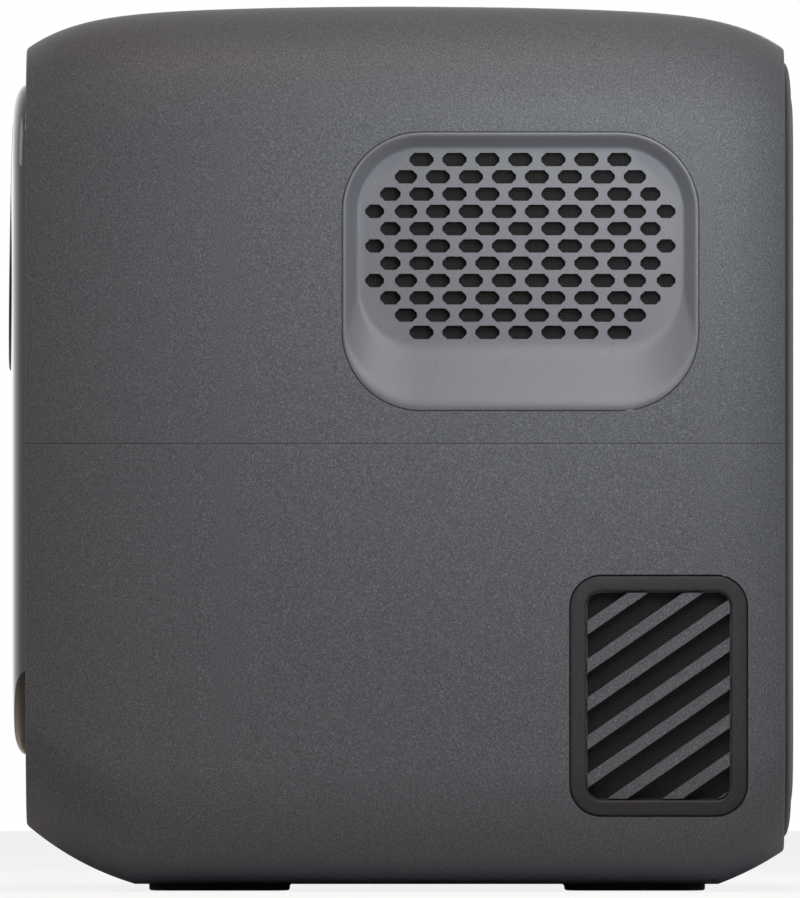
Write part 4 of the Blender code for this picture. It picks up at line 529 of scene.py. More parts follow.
def grille_piece(name, side):
    """Grille: rim, rounded lip, sloped dish wall and flat plate with its sound holes cut."""
    outer_low, outer_high = GRILLE_LOW[1:], GRILLE_HIGH[1:]
    plate_low = outer_low + (PLATE_MARGIN, PLATE_MARGIN_LOW)
    plate_high = outer_high - (PLATE_MARGIN, PLATE_MARGIN_TOP)
    face, plate_back = GRILLE_HIGH[0], -DISH_DEPTH - DISH_SKIN
    outer, lip, ledge = [
        rounded_outline(outer_low + inset, outer_high - inset, GRILLE_CORNER - inset)
        for inset in (0, EDGE, GRILLE_LEDGE)
    ]
    plate, back = [
        rounded_outline(plate_low - skin, plate_high + skin, PLATE_CORNER + skin)
        for skin in (0, DISH_SKIN)
    ]
    rings = [(back, plate_back), (ledge, -GRILLE_RIM), (outer, -GRILLE_RIM), (outer, -EDGE)]
    rings.append(((outer + lip) / 2 + (lip - outer) * -0.2, -EDGE * 0.3))
    share, rise = eased_wall(18, 0.22)
    for step in range(len(share) - 1, -1, -1):
        rings.append((plate + (lip - plate) * share[step], -DISH_DEPTH * (1 - rise[step])))
    points = [np.insert(ring, 0, side * (face + level), axis=1) for ring, level in rings]
    piece = closed_piece(name, np.array(points))
    ends = sorted((side * (face - DISH_DEPTH + GAP), side * (face + plate_back - GAP)))
    holes = [prism("hole", outline, *ends, 0) for outline in hole_outlines()]
    carve(piece, [joined(holes, "holes")])
    return piece


# Front panel, its frame, and the turned lens parts

def panel_depth(across, up, low, high):
    """Reach of the pillowed panel at a place: an ellipse at its edge, then a shallow dome.

    The distance to the rounded outline is worked out exactly, and the reach is a function of it.
    """
    centre, half = (low + high) / 2, (high - low) / 2
    offset_x = np.abs(across - centre[0]) - (half[0] - PANEL_CORNER)
    offset_z = np.abs(up - centre[1]) - (half[1] - PANEL_CORNER)
    outside = np.hypot(np.maximum(offset_x, 0), np.maximum(offset_z, 0))
    inside = np.minimum(np.maximum(offset_x, offset_z), 0)
    distance = np.clip(PANEL_CORNER - outside - inside, 0, None)
    quick = QUICK_SHARE * PANEL_PROUD
    share = np.clip(distance / PANEL_EDGE, 0, 1)
    rounded = quick * np.sqrt(1 - (1 - share) ** 2)
    swell = np.clip((distance - PANEL_EDGE) / PANEL_DOME, 0, 1)
    return rounded + (PANEL_PROUD - quick) * (1 - (1 - swell) ** 2)


def dense_outline(low, high, radius, count):
    """Rounded rectangle sampled at equal steps along its length."""
    outline = rounded_outline(low, high, radius, 24)
    closed = np.concatenate([outline, outline[:1]])
    travelled = np.concatenate([[0], np.cumsum(np.hypot(*np.diff(closed, axis=0).T))])
    steps = np.linspace(0, travelled[-1], count, endpoint=False)
    return np.stack([np.interp(steps, travelled, closed[:, axis]) for axis in (0, 1)], axis=-1)


def front_piece(name):
    """Glossy panel: rows run from its rounded outline to the lens hole, and back underneath.

    A place's reach follows its distance to the outline, by panel_depth.
    """
    low, high = PANEL_LOW[[0, 2]], PANEL_HIGH[[0, 2]]
    middle = LENS_CENTRE[[0, 2]]
    outer = dense_outline(low, high, PANEL_CORNER, 288)
    away = outer - middle
    inner = middle + away / np.hypot(*away.T)[:, None] * LENS_HOLE
    share = (np.linspace(0, 1, 64) ** 1.7)[:, None, None]
    rows = outer * (1 - share) + inner * share
    reach = panel_depth(rows[..., 0], rows[..., 1], low, high)
    top = np.stack([rows[..., 0], SHELL_LOW[1] - reach, rows[..., 1]], axis=-1)
    wall, rim = top[-1:].copy(), top[:1].copy()
    wall[..., 1] = rim[..., 1] = PANEL_HIGH[1]
    points = np.concatenate([rim, top, wall])
    return facing_out(grid_piece(name, points, wrap_rows=True, wrap_columns=True))


def frame_piece(name):
    """Front frame: a rounded plate with the panel's seat sunk in it and the lens hole."""
    outer_low, outer_high = corners("front_frame")
    turn = np.radians([90, 60, 30, 0])
    insets = [0, *(SOFT_EDGE * (1 - np.sin(turn)))]
    levels = [outer_high[1], *(outer_low[1] + SOFT_EDGE * (1 - np.cos(turn)))]
    rings = rounded_rings(outer_low[[0, 2]], outer_high[[0, 2]], end_corner(), insets, levels, 1)
    piece = closed_piece(name, rings)
    low, high = PANEL_LOW[[0, 2]] - GAP, PANEL_HIGH[[0, 2]] + GAP
    seat = rounded_outline(low, high, PANEL_CORNER + GAP)
    pocket = prism("seat", seat, outer_low[1] - PAST, PANEL_HIGH[1] + GAP, 1)
    middle = LENS_CENTRE[[0, 2]]
    start, end = [np.insert(middle, 1, level) for level in (outer_low[1] - PAST, outer_high[1] + PAST)]
    carve(piece, [pocket, post("hole", start, end, LENS_HOLE, 96)])
    return piece


def turned(profile, turns):
    """Two directions across and the height, each (profile, turns), of a profile carried round."""
    radius, height = np.array(profile).T[..., None]
    angle = np.linspace(0, 2 * math.pi, turns, endpoint=False)
    across = radius * np.cos(angle)
    return across, radius * np.sin(angle), np.broadcast_to(height, across.shape)


def turned_piece(name, profile, place, lean=0.0, closed=True):
    """Turned piece facing -Y: radius and height of the profile carried round a leaning axis."""
    across, up, along = turned(profile, 96)
    along = -along
    tilted = along * math.cos(lean) + up * math.sin(lean)
    raised = up * math.cos(lean) - along * math.sin(lean)
    points = np.stack([across, tilted, raised], axis=-1) + np.array(place)
    return facing_out(grid_piece(name, points, wrap_rows=closed, wrap_columns=True, caps=not closed))


def ring_profile():
    """Lens ring: rounded outer edge, a bright inner bevel and six stepped baffles."""
    turn = np.radians(np.linspace(0, 90, 7))
    profile = [(RING_RADIUS, 0)]
    across = RING_RADIUS - RING_SOFT + RING_SOFT * np.cos(turn)
    profile += list(zip(across, RING_DEPTH - RING_SOFT + RING_SOFT * np.sin(turn)))
    face = RING_DEPTH - RING_BEVEL
    profile += [(RING_MOUTH + RING_BEVEL, RING_DEPTH), (RING_MOUTH, face)]
    fall, draw = face / RING_STEPS, (RING_MOUTH - RING_THROAT) / RING_STEPS
    for step in range(RING_STEPS):
        level = face - fall * (step + 1)
        profile += [(RING_MOUTH - draw * step, level + STEP_TREAD), (RING_MOUTH - draw * (step + 1), level)]
    profile.append((RING_THROAT, 0))
    return profile


def dome_profile(radius, edge, bulge, rows=24):
    """Lens: a spherical cap worked out from its radius and bulge, on a thin edge, flat behind."""
    share = np.linspace(0.002, 1, rows)
    sphere = (radius**2 + bulge**2) / (2 * bulge)
    height = edge + np.sqrt(sphere**2 - (radius * share) ** 2) - (sphere - bulge)
    profile = list(zip(radius * share, height))
    profile += [(radius, 0), (radius * 0.5, 0), (radius * 0.002, 0)]
    return profile


# Rear panel

def rear_piece(name):
    """Rear panel: pillowed face, hollow back, sunk port bay, port holes and window hole."""
    face, quick = REAR_HIGH[1] - REAR_PROUD, QUICK_SHARE * REAR_PROUD
    deep = face + quick - REAR_WALL
    turn = np.radians(np.linspace(0, 90, 14))
    share = np.linspace(0.2, 1, 5)
    insets = [REAR_WALL, REAR_WALL, 0, *(REAR_EDGE * (1 - np.cos(turn))), *(REAR_EDGE + REAR_DOME * share)]
    swell = quick + (REAR_PROUD - quick) * share * (2 - share)
    levels = [deep, face - REAR_SEAT, face - REAR_SEAT, *(face + quick * np.sin(turn)), *(face + swell)]
    low, high = REAR_LOW[[0, 2]], REAR_HIGH[[0, 2]]
    piece = closed_piece(name, rounded_rings(low, high, end_corner(), insets, levels, 1))
    bay_low, bay_high = np.array(BAY_LOW), np.array(BAY_HIGH)
    floor, front = REAR_HIGH[1] - BAY_DEPTH, REAR_HIGH[1] + PAST
    back = rounded_outline(bay_low - REAR_WALL, bay_high + REAR_WALL, BAY_CORNER + REAR_WALL, 6)
    carve(piece, [prism("back", back, floor - REAR_WALL, deep + REAR_WALL / 2, 1)], "UNION")
    # The first tool opens the bay's edge a little wider than the second sinks its floor
    tools = []
    for inset, level in ((-EDGE, REAR_HIGH[1] - EDGE), (0, floor)):
        bay = rounded_outline(bay_low + inset, bay_high - inset, BAY_CORNER - inset, 8)
        tools.append(prism("bay", bay, level, front, 1))
    for port in ("hdmi_port", "usb_port", "audio_jack", "dc_inlet", "ir_window"):
        port_low, port_high = [corner[[0, 2]] for corner in corners(port)]
        hole = rounded_outline(port_low - GAP, port_high + GAP, PORT_CORNER, 3)
        tools.append(prism("port", hole, deep - PORT_REACH, front, 1))
    carve(piece, tools)
    return piece


# Vent louvre

def louvre_outline(inset, count=0):
    """The vent's outline in Y and Z, drawn in by an inset."""
    low, high, corner = LOUVRE_LOW[1:] + inset, LOUVRE_HIGH[1:] - inset, VENT_CORNER - inset
    return dense_outline(low, high, corner, count) if count else rounded_outline(low, high, corner)


def on_side(outline, sunk, side):
    """Places in Y and Z laid on the case's side, sunk below its surface."""
    across = side * (side_reach(outline[..., 0], outline[..., 1]) - sunk)
    return np.insert(outline, 0, across, axis=-1)


def fan_rows(outline):
    """Rows that grow from an outline's middle to the outline."""
    centre = outline.mean(axis=0)
    return centre + (outline - centre) * np.linspace(0.02, 1, 20)[:, None, None]


def louvre_frame_piece(name, side):
    """Vent frame on the case's curve: a rounded section carried round the vent's outline."""
    turn = np.radians(np.linspace(0, 90, 5))
    bend, rise = VENT_SOFT * (1 - np.cos(turn)), VENT_SOFT * (1 - np.sin(turn))
    insets = [0, *bend, *(VENT_BORDER - bend[::-1]), VENT_BORDER]
    depths = [VENT_FRAME_DEEP, *rise, *rise[::-1], VENT_FRAME_DEEP]
    rows = [
        on_side(louvre_outline(inset, 320), VENT_SUNK + depth, side)
        for inset, depth in zip(insets, depths)
    ]
    return facing_out(grid_piece(name, np.array(rows), wrap_rows=True, wrap_columns=True))


def slat_piece(name, side):
    """Slats: a plate on the case's curve with a rim behind the frame, cut by slanted slots."""
    inner, rim = louvre_outline(VENT_BORDER + GAP, 240), louvre_outline(SLAT_RIM_INSET, 240)
    fan = fan_rows(inner)
    steps = [on_side(fan, SLAT_SUNK, side)]
    for outline, depth in ((inner, SLAT_RIM), (rim, SLAT_RIM), (rim, SLAT_DEEP), (inner, SLAT_DEEP)):
        steps.append(on_side(outline, depth, side)[None])
    steps.append(on_side(fan[::-1][1:], SLAT_DEEP, side))
    piece = closed_piece(name, np.concatenate(steps))
    near, far = LOUVRE_LOW[1], LOUVRE_HIGH[1]
    lift = math.tan(SLAT_RISE) * (far - near)
    step = SLAT_PITCH / math.cos(SLAT_RISE)
    ends = sorted(side * level for level in SLAT_SPAN)
    slots = []
    for order in range(8):
        low = SLOT_START - math.tan(SLAT_RISE) * VENT_BORDER - step * order
        high = low + step - SLAT_THICK / math.cos(SLAT_RISE)
        slot = np.array([(near, low), (far, low + lift), (far, high + lift), (near, high)])
        slots.append(prism("slot", slot, *ends, 0))
    cutter = joined(slots, "slots")
    opening = prism("opening", louvre_outline(VENT_BORDER + GAP), *ends, 0)
    carve(cutter, [opening], "INTERSECT")
    carve(piece, [cutter])
    return piece


def dust_and_shade_mesh_piece(name, side):
    """Thin black dust mesh behind the slats, laid on the case's curve. It is also painted shade: a dark
    sheet that stands in for the shade inside the vent and keeps light out of it.
    """
    fan = fan_rows(louvre_outline(MESH_INSET, 240))
    front, rear = on_side(fan, MESH_SUNK, side), on_side(fan[::-1], MESH_SUNK + MESH_THICK, side)
    return closed_piece(name, np.concatenate([front, rear]))


# The shells with what is moulded on them

def screw_posts(kind, low, high, radius):
    """A rod at each case screw, between two levels."""
    middles = [np.mean(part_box(screw), axis=0)[:2] for screw in SCREWS]
    return [post(kind, (*middle, low), (*middle, high), radius) for middle in middles]


def upper_case(name):
    """Upper shell with its grille openings, button hole, screw bosses and button posts."""
    piece = shell_piece(name, True)
    seam = SHELL_LOW[2]
    along = np.mean(corners("power_button"), axis=0)[1]
    board_low, board_high = corners("button_board")
    posts = screw_posts("boss", seam, seam + BOSS_HEIGHT, BOSS_RADIUS)
    for across in (board_low[0] + POST_RADIUS, board_high[0] - POST_RADIUS):
        low = (across, along, BUTTON_POST_LOW)
        posts.append(post("post", low, (across, along, SHELL_HIGH[2] - WALL_BITE), POST_RADIUS))
    carve(piece, posts, "UNION")
    holes = screw_posts("hole", seam - PAST, seam + BORE_REACH, BORE_RADIUS)
    low, high = [(0, along, level) for level in ROOF_SPAN]
    holes.append(post("hole", low, high, BUTTON_RADIUS + GAP, 96))
    holes += screw_posts("notch", seam - PAST, seam - SEAM_DRAW, BOSS_RADIUS + GAP)
    low, high = GRILLE_LOW[1:] - HAIRLINE, GRILLE_HIGH[1:] + HAIRLINE
    outline = rounded_outline(low, high, GRILLE_CORNER + HAIRLINE)
    for side in (1, -1):
        holes.append(prism("opening", outline, *sorted(side * level for level in GRILLE_SPAN), 0))
    carve(piece, holes)
    return piece


def lower_case(name):
    """Lower shell with its vent openings, foot seats, tripod boss, screw bosses and posts."""
    piece = shell_piece(name, False)
    seam, inside = FLOOR_HIGH[2], FLOOR_LOW[2] + WALL_BITE
    tripod_low, tripod_high = corners("tripod_insert")
    tripod = (tripod_low + tripod_high)[:2] / 2
    base_low, base_high = corners("engine_base")
    posts = screw_posts("boss", seam - BOSS_HEIGHT, seam, BOSS_RADIUS)
    posts.append(post("boss", (*tripod, inside), (*tripod, tripod_high[2]), TRIPOD_BOSS, 32))
    for across in (base_low[0] + BASE_POST_INSET, base_high[0] - BASE_POST_INSET):
        for along in (base_low[1] + BASE_POST_INSET, base_high[1] - BASE_POST_INSET):
            ends = (across, along, inside), (across, along, base_low[2] - GAP)
            posts.append(post("post", *ends, POST_RADIUS))
    board_low, board_high = corners("power_board")
    for along in (board_low[1] + BOARD_POST_INSET, board_high[1] - BOARD_POST_INSET):
        for up in (board_low[2] + BOARD_POST_INSET, board_high[2] - BOARD_POST_INSET):
            wall = WALL_BITE - float(half_width(np.array(along)))
            posts.append(post("post", (wall, along, up), (board_low[0] - GAP, along, up), POST_RADIUS))
    carve(piece, posts, "UNION")
    holes = screw_posts("hole", seam - BORE_REACH, seam + PAST, BORE_RADIUS)
    ends = (*tripod, -PAST), (*tripod, TRIPOD_REACH)
    holes.append(post("hole", *ends, TRIPOD_RADIUS + GAP, 32))
    for side in (1, -1):
        span = sorted(side * level for level in VENT_SPAN)
        holes.append(prism("opening", louvre_outline(-HAIRLINE), *span, 0))
    for foot in FEET:
        low, high = [corner[:2] for corner in corners(foot)]
        seat = rounded_outline(low - GAP, high + GAP, FOOT_CORNER + GAP, 8)
        holes.append(prism("seat", seat, -PAST, FLOOR_LOW[2] + FOOT_SEAT, 2))
    carve(piece, holes)
    return piece


def foot_piece(name, foot):
    """Rubber pad: a rounded plate with a softened lower edge."""
    low, high = corners(foot)
    turn = np.radians(np.linspace(0, 90, 6))
    insets = [*(SOFT_EDGE * (1 - np.sin(turn))), 0]
    levels = [*(low[2] + SOFT_EDGE * (1 - np.cos(turn))), high[2]]
    return closed_piece(name, rounded_rings(low[:2], high[:2], FOOT_CORNER, insets, levels, 2, 8))


def button_piece(name):
    """Power button: crown-flush cap with a rounded edge and a shallow dish, skirt and stem."""
    low, high = corners("power_button")
    face, rim = high[2], BUTTON_RADIUS - SOFT_EDGE
    skirt_top = face - BUTTON_CAP - GAP
    skirt_low, skirt = skirt_top - BUTTON_SKIRT, BUTTON_RADIUS + BUTTON_SKIRT_OUT
    turn = np.radians(np.linspace(90, 0, 6))
    share = np.linspace(0.01, 1, 10)
    profile = list(zip(rim * share, face - BUTTON_DISH * (1 - share**2)))
    profile += list(zip(rim + SOFT_EDGE * np.cos(turn), face - SOFT_EDGE + SOFT_EDGE * np.sin(turn)))
    profile += [(BUTTON_RADIUS, skirt_top), (skirt, skirt_top), (skirt, skirt_low)]
    profile += [(BUTTON_STEM, skirt_low), (BUTTON_STEM, low[2]), (POLE, low[2])]
    across, along, up = turned(profile, 64)
    return closed_piece(name, np.stack([across, along + (low[1] + high[1]) / 2, up], axis=-1))


# Materials

def add_node(tree, kind, inputs=None, stops=None, **settings):
    """Add a node with its settings, input values or links, and the stops of its ramp."""
    made = tree.nodes.new(kind)
    for key, value in settings.items():
        setattr(made, key, value)
    for key, value in (inputs or {}).items():
        if isinstance(value, bpy.types.NodeSocket):
            tree.links.new(value, made.inputs[key])
        else:
            made.inputs[key].default_value = value
    for order, (place, colour) in enumerate(stops or ()):
        elements = made.color_ramp.elements
        stop = elements[order] if order < len(elements) else elements.new(place)
        stop.position = place
        stop.color = (*colour, 1)
    return made


def new_material(name, **values):
    """A material with its Principled shader's uniform values set on the shader's own sockets."""
    made = bpy.data.materials.new(name)
    made.use_nodes = True
    tree = made.node_tree
    shader = tree.nodes["Principled BSDF"]
    for key, value in values.items():
        shader.inputs[key.replace("_", " ").title().replace("Ior", "IOR")].default_value = value
    return made, tree, shader


def place_on_object(tree, scale=(1, 1, 1)):
    """Object coordinates in metres, stretched per axis where a finish has a direction."""
    coordinates = add_node(tree, "ShaderNodeTexCoord")
    mapping = {"Vector": coordinates.outputs["Object"], "Scale": scale}
    return add_node(tree, "ShaderNodeMapping", mapping).outputs["Vector"]


def grained(tree, shader, grain, tones, bump, height, roughness, scale=(1, 1, 1), detail=3.0):
    """Colour, roughness and bump from one noise whose grain is a real size in metres."""
    place = place_on_object(tree, scale)
    noise = add_node(tree, "ShaderNodeTexNoise", {"Vector": place, "Scale": 1 / grain, "Detail": detail})
    value = noise.outputs["Fac"]
    ramp = add_node(tree, "ShaderNodeValToRGB", {"Fac": value}, tones)
    tree.links.new(ramp.outputs["Color"], shader.inputs["Base Color"])
    span = {"Value": value, "To Min": roughness[0], "To Max": roughness[1]}
    rough = add_node(tree, "ShaderNodeMapRange", span)
    tree.links.new(rough.outputs["Result"], shader.inputs["Roughness"])
    rise = {"Height": value, "Strength": bump, "Distance": height}
    relief = add_node(tree, "ShaderNodeBump", rise)
    tree.links.new(relief.outputs["Normal"], shader.inputs["Normal"])
    return value


def tones(*codes):
    """Evenly spread ramp stops from hex colours, kept within the middle of a noise's range."""
    return [(0.3 + 0.4 * order / (len(codes) - 1), linear(code)) for order, code in enumerate(codes)]


def shade(colour, factor):
    """A colour, lighter or darker by a factor."""
    return tuple(np.clip(np.array(colour) * factor, 0, 1))


def space_grey_paint():
    """Metallic satin paint on moulded ABS: grey ground with fine darker and lighter flecks."""
    made, tree, shader = new_material("space_grey_metallic_paint", specular_ior_level=0.12)
    ground = tuple(colours().case)
    # Flecks are about 0.1 mm on the paint, drawn at 0.28 mm so that they show
    shades = ((0.32, 0.62), (0.47, 1), (0.56, 1.06), (0.70, 1.8))
    stops = [(place, shade(ground, factor)) for place, factor in shades]
    grained(tree, shader, 0.00028, stops, 0.25, 0.00004, (0.4, 0.55))
    return made


def satin_grille_paint():
    """Smooth satin paint on the moulded grille: a finer, quieter grain than the case."""
    made, tree, shader = new_material("grille_satin_paint", specular_ior_level=0.35)
    ground = tuple(colours().grille)
    shades = ((0.35, 0.93), (0.5, 1), (0.65, 1.07))
    stops = [(place, shade(ground, factor)) for place, factor in shades]
    grained(tree, shader, 0.0004, stops, 0.08, 0.00002, (0.36, 0.44))
    return made


def moulded_plastic(name, codes, roughness, grain=0.0004, bump=0.25, level=0.5):
    """Injection moulded plastic: an even colour with a fine spark-eroded grain."""
    made, tree, shader = new_material(name, specular_ior_level=level)
    grained(tree, shader, grain, tones(*codes), bump, 0.00003, roughness)
    return made


def gloss_black_acrylic():
    """Polished black acrylic: deep colour, mirror gloss and a faint long waviness."""
    made, tree, shader = new_material("gloss_black_acrylic", coat_weight=0.5, coat_roughness=0.02)
    grained(tree, shader, 0.030, tones("#060607", "#0a0a0b"), 0.02, 0.0002, (0.035, 0.06))
    return made


def turned_metal(name, codes, roughness, stretch=(1, 1, 1), grain=0.0003):
    """Metal with its tool marks: fine streaks along the direction that it was worked."""
    made, tree, shader = new_material(name, metallic=1.0)
    grained(tree, shader, grain, tones(*codes), 0.12, 0.00002, roughness, stretch)
    return made


def coated_glass(name, tint, weight):
    """Optical glass with a purple blue antireflection coating, clear through its body."""
    made, tree, shader = new_material(name, transmission_weight=weight, ior=1.52, coat_weight=1.0)
    shader.inputs["Coat Tint"].default_value = (*linear(tint), 1)
    grained(tree, shader, 0.020, tones("#dfe2f2", "#f1f2fb"), 0.0, 0.00001, (0.01, 0.03))
    return made


def silvered_mirror():
    """Front silvered glass: a full mirror with hardly any haze."""
    made, tree, shader = new_material("silvered_mirror", metallic=1.0)
    grained(tree, shader, 0.010, tones("#e6e8ea", "#eff1f2"), 0.0, 0.00001, (0.01, 0.03))
    return made


def circuit_board():
    """Solder masked glass epoxy: green mask over a grid of fine copper tracks."""
    made, tree, shader = new_material("solder_masked_board", coat_weight=0.4, coat_roughness=0.2)
    place = place_on_object(tree)
    tracks = {"Vector": place, "Scale": 1 / 0.004, "Mortar Size": 0.06}
    tracks |= {"Brick Width": 0.8, "Row Height": 0.35}
    for key, code in (("Color1", "#12472c"), ("Color2", "#164f33"), ("Mortar", "#2b6b45")):
        tracks[key] = (*linear(code), 1)
    brick = add_node(tree, "ShaderNodeTexBrick", tracks)
    tree.links.new(brick.outputs["Color"], shader.inputs["Base Color"])
    span = {"Value": brick.outputs["Fac"], "To Min": 0.42, "To Max": 0.3}
    rough = add_node(tree, "ShaderNodeMapRange", span)
    tree.links.new(rough.outputs["Result"], shader.inputs["Roughness"])
    rise = {"Height": brick.outputs["Fac"], "Strength": 0.3, "Distance": 0.00005}
    relief = add_node(tree, "ShaderNodeBump", rise)
    tree.links.new(relief.outputs["Normal"], shader.inputs["Normal"])
    return made


def woven_cloth():
    """Acoustic cloth: black warp and weft threads 0.6 mm apart."""
    made, tree, shader = new_material("woven_acoustic_cloth", roughness=0.95, sheen_weight=0.3)
    place = place_on_object(tree)
    waves = []
    for direction in ("Y", "Z"):
        settings = {"Vector": place, "Scale": 1 / 0.0006 / 3.1416, "Distortion": 0.2}
        waves.append(add_node(tree, "ShaderNodeTexWave", settings, bands_direction=direction))
    product = {0: waves[0].outputs["Fac"], 1: waves[1].outputs["Fac"]}
    weave = add_node(tree, "ShaderNodeMath", product, operation="MULTIPLY").outputs["Value"]
    stops = [(0.1, linear("#08090a")), (0.9, linear("#1c1d1f"))]
    ramp = add_node(tree, "ShaderNodeValToRGB", {"Fac": weave}, stops)
    tree.links.new(ramp.outputs["Color"], shader.inputs["Base Color"])
    relief = add_node(tree, "ShaderNodeBump", {"Height": weave, "Strength": 0.6, "Distance": 0.0001})
    tree.links.new(relief.outputs["Normal"], shader.inputs["Normal"])
    return made


MATERIALS = {}


def finish_of(key):
    """The material of a finish, made once and shared by every piece that has it."""
    grey, black = ("#2b2c2e", "#313234", "#38393b"), ("#131314", "#18181a", "#1e1e20")
    filter_codes = ("#101114", "#17191e")
    makers = {
        "case": (space_grey_paint,),
        "grille": (satin_grille_paint,),
        "gloss": (gloss_black_acrylic,),
        "trim": (moulded_plastic, "dark_grey_abs", grey, (0.45, 0.6), 0.0004, 0.25, 0.2),
        "black": (moulded_plastic, "black_abs", black, (0.45, 0.6)),
        "rubber": (moulded_plastic, "moulded_rubber", ("#1d1d1e", "#232324"), (0.8, 0.92), 0.0008),
        "ring": (moulded_plastic, "lens_ring_abs", ("#1b1b1d", "#232326"), (0.24, 0.34), 0.0003, 0.1),
        "cone": (moulded_plastic, "pressed_paper_cone", ("#161617", "#222223"), (0.75, 0.9), 0.0009, 0.5),
        "panel_filter": (moulded_plastic, "polarising_panel", filter_codes, (0.08, 0.14), 0.01, 0.0),
        "brass": (turned_metal, "turned_brass", ("#b08a4a", "#c8a35e"), (0.25, 0.4), (1, 1, 4)),
        "steel": (turned_metal, "zinc_plated_steel", ("#a8aaab", "#c3c5c6"), (0.28, 0.42)),
        "aluminium": (turned_metal, "extruded_aluminium", ("#b4b6b8", "#cdcfd1"), (0.3, 0.45), (1, 8, 1)),
        "copper": (turned_metal, "drawn_copper", ("#b0694a", "#c98160"), (0.25, 0.4), (6, 1, 1)),
        "lens": (coated_glass, "coated_lens_glass", "#8f86e8", 0.55),
        "optic": (coated_glass, "moulded_optical_acrylic", "#eef0fa", 0.9),
        "mirror": (silvered_mirror,),
        "board": (circuit_board,),
        "cloth": (woven_cloth,),
    }
    if key not in MATERIALS:
        maker, *values = makers[key]
        MATERIALS[key] = maker(*values)
    return MATERIALS[key]


def paint_nodes(key, *names):
    """Give carried-over solids a finish through their objects' material slots."""
    for name in names:
        node = NODES[name]
        if not node.material_slots:
            node.data.materials.append(None)
        for slot in node.material_slots:
            slot.link = "OBJECT"
            slot.material = finish_of(key)


class ProjectorOperator:
    """What every step of the projector shares."""

    bl_options = {"REGISTER", "UNDO"}


class PROJECTOR_OT_case(ProjectorOperator, Operator):
    """Make the two shells of the moulded sleeve"""

    bl_idname = "projector.make_case"
    bl_label = "Case shells"

    def execute(self, context):
        dress(upper_case("case_upper"), ["upper_shell"], "case", finish_of("case"))
        dress(lower_case("case_lower"), ["lower_shell"], "case", finish_of("case"))
        return {"FINISHED"}


class PROJECTOR_OT_grilles(ProjectorOperator, Operator):
    """Make the dished speaker grilles and finish the speakers behind them"""

    bl_idname = "projector.make_grilles"
    bl_label = "Speaker grilles"

    def execute(self, context):
        for name, side in (("left", -1), ("right", 1)):
            piece = grille_piece(f"speaker_grille_{name}", side)
            dress(piece, [f"side_grille_{name}"], "case", finish_of("grille"))
            paint_nodes("black", f"speaker_box_{name}")
            paint_nodes("cone", f"speaker_cone_{name}")
            paint_nodes("cloth", f"speaker_cloth_{name}")
        return {"FINISHED"}


class PROJECTOR_OT_front(ProjectorOperator, Operator):
    """Make the front frame, the glossy panel, the lens ring and the front glass"""

    bl_idname = "projector.make_front"
    bl_label = "Front and lens"

    def execute(self, context):
        dress(frame_piece("mouth_frame"), ["front_frame"], "case", finish_of("trim"))
        dress(front_piece("front_cover"), ["front_panel"], "case", finish_of("gloss"))
        place = (LENS_CENTRE[0], RING_DEPTH - RING_FRONT, LENS_CENTRE[2])
        ring = turned_piece("lens_trim", ring_profile(), place, RING_LEAN)
        dress(ring, ["lens_ring"], "case", finish_of("ring"))
        low, high = corners("lens_front_glass")
        radius = (high[0] - low[0]) / 2
        profile = dome_profile(radius, LENS_EDGE, high[1] - low[1] - LENS_EDGE)
        place = ((low[0] + high[0]) / 2, high[1], (low[2] + high[2]) / 2)
        glass = turned_piece("front_lens", profile, place, closed=False)
        dress(glass, ["lens_front_glass"], "barrel", finish_of("lens"))
        return {"FINISHED"}


class PROJECTOR_OT_rear(ProjectorOperator, Operator):
    """Make the rear panel and finish its sockets and infrared window"""

    bl_idname = "projector.make_rear"
    bl_label = "Rear panel and sockets"

    def execute(self, context):
        dress(rear_piece("rear_cover"), ["rear_panel"], "case", finish_of("trim"))
        paint_nodes("steel", "hdmi_port", "usb_port")
        paint_nodes("black", "audio_jack", "dc_inlet")
        paint_nodes("gloss", "ir_window")
        return {"FINISHED"}


class PROJECTOR_OT_louvres(ProjectorOperator, Operator):
    """Make the vent frames and their slanted slats"""

    bl_idname = "projector.make_louvres"
    bl_label = "Vent louvres"

    def execute(self, context):
        for name, side in (("left", -1), ("right", 1)):
            frame_object = louvre_frame_piece(f"vent_frame_{name}", side)
            dress(frame_object, [f"louvre_frame_{name}"], "case", finish_of("trim"))
            slats = slat_piece(f"vent_slats_{name}", side)
            dress(slats, [f"louvre_slats_{name}"], "case", finish_of("case"))
            # The black mesh is partly a dust mesh and partly painted shade, a dark sheet in place of the
            # shade inside the vent
            mesh = dust_and_shade_mesh_piece(f"dust_and_shade_mesh_{name}", side)
            dress(mesh, [], "case", finish_of("cloth"))
        return {"FINISHED"}


class PROJECTOR_OT_fittings(ProjectorOperator, Operator):
    """Make the power button and the feet, and finish the tripod socket and the screws"""

    bl_idname = "projector.make_fittings"
    bl_label = "Button, feet and fasteners"

    def execute(self, context):
        dress(button_piece("button_cap"), ["power_button"], "button", finish_of("ring"))
        for foot in FEET:
            piece = foot_piece(foot.replace("foot", "pad"), foot)
            dress(piece, [foot], "case", finish_of("rubber"))
        paint_nodes("brass", "tripod_insert")
        paint_nodes("board", "button_board")
        paint_nodes("steel", *SCREWS)
        return {"FINISHED"}


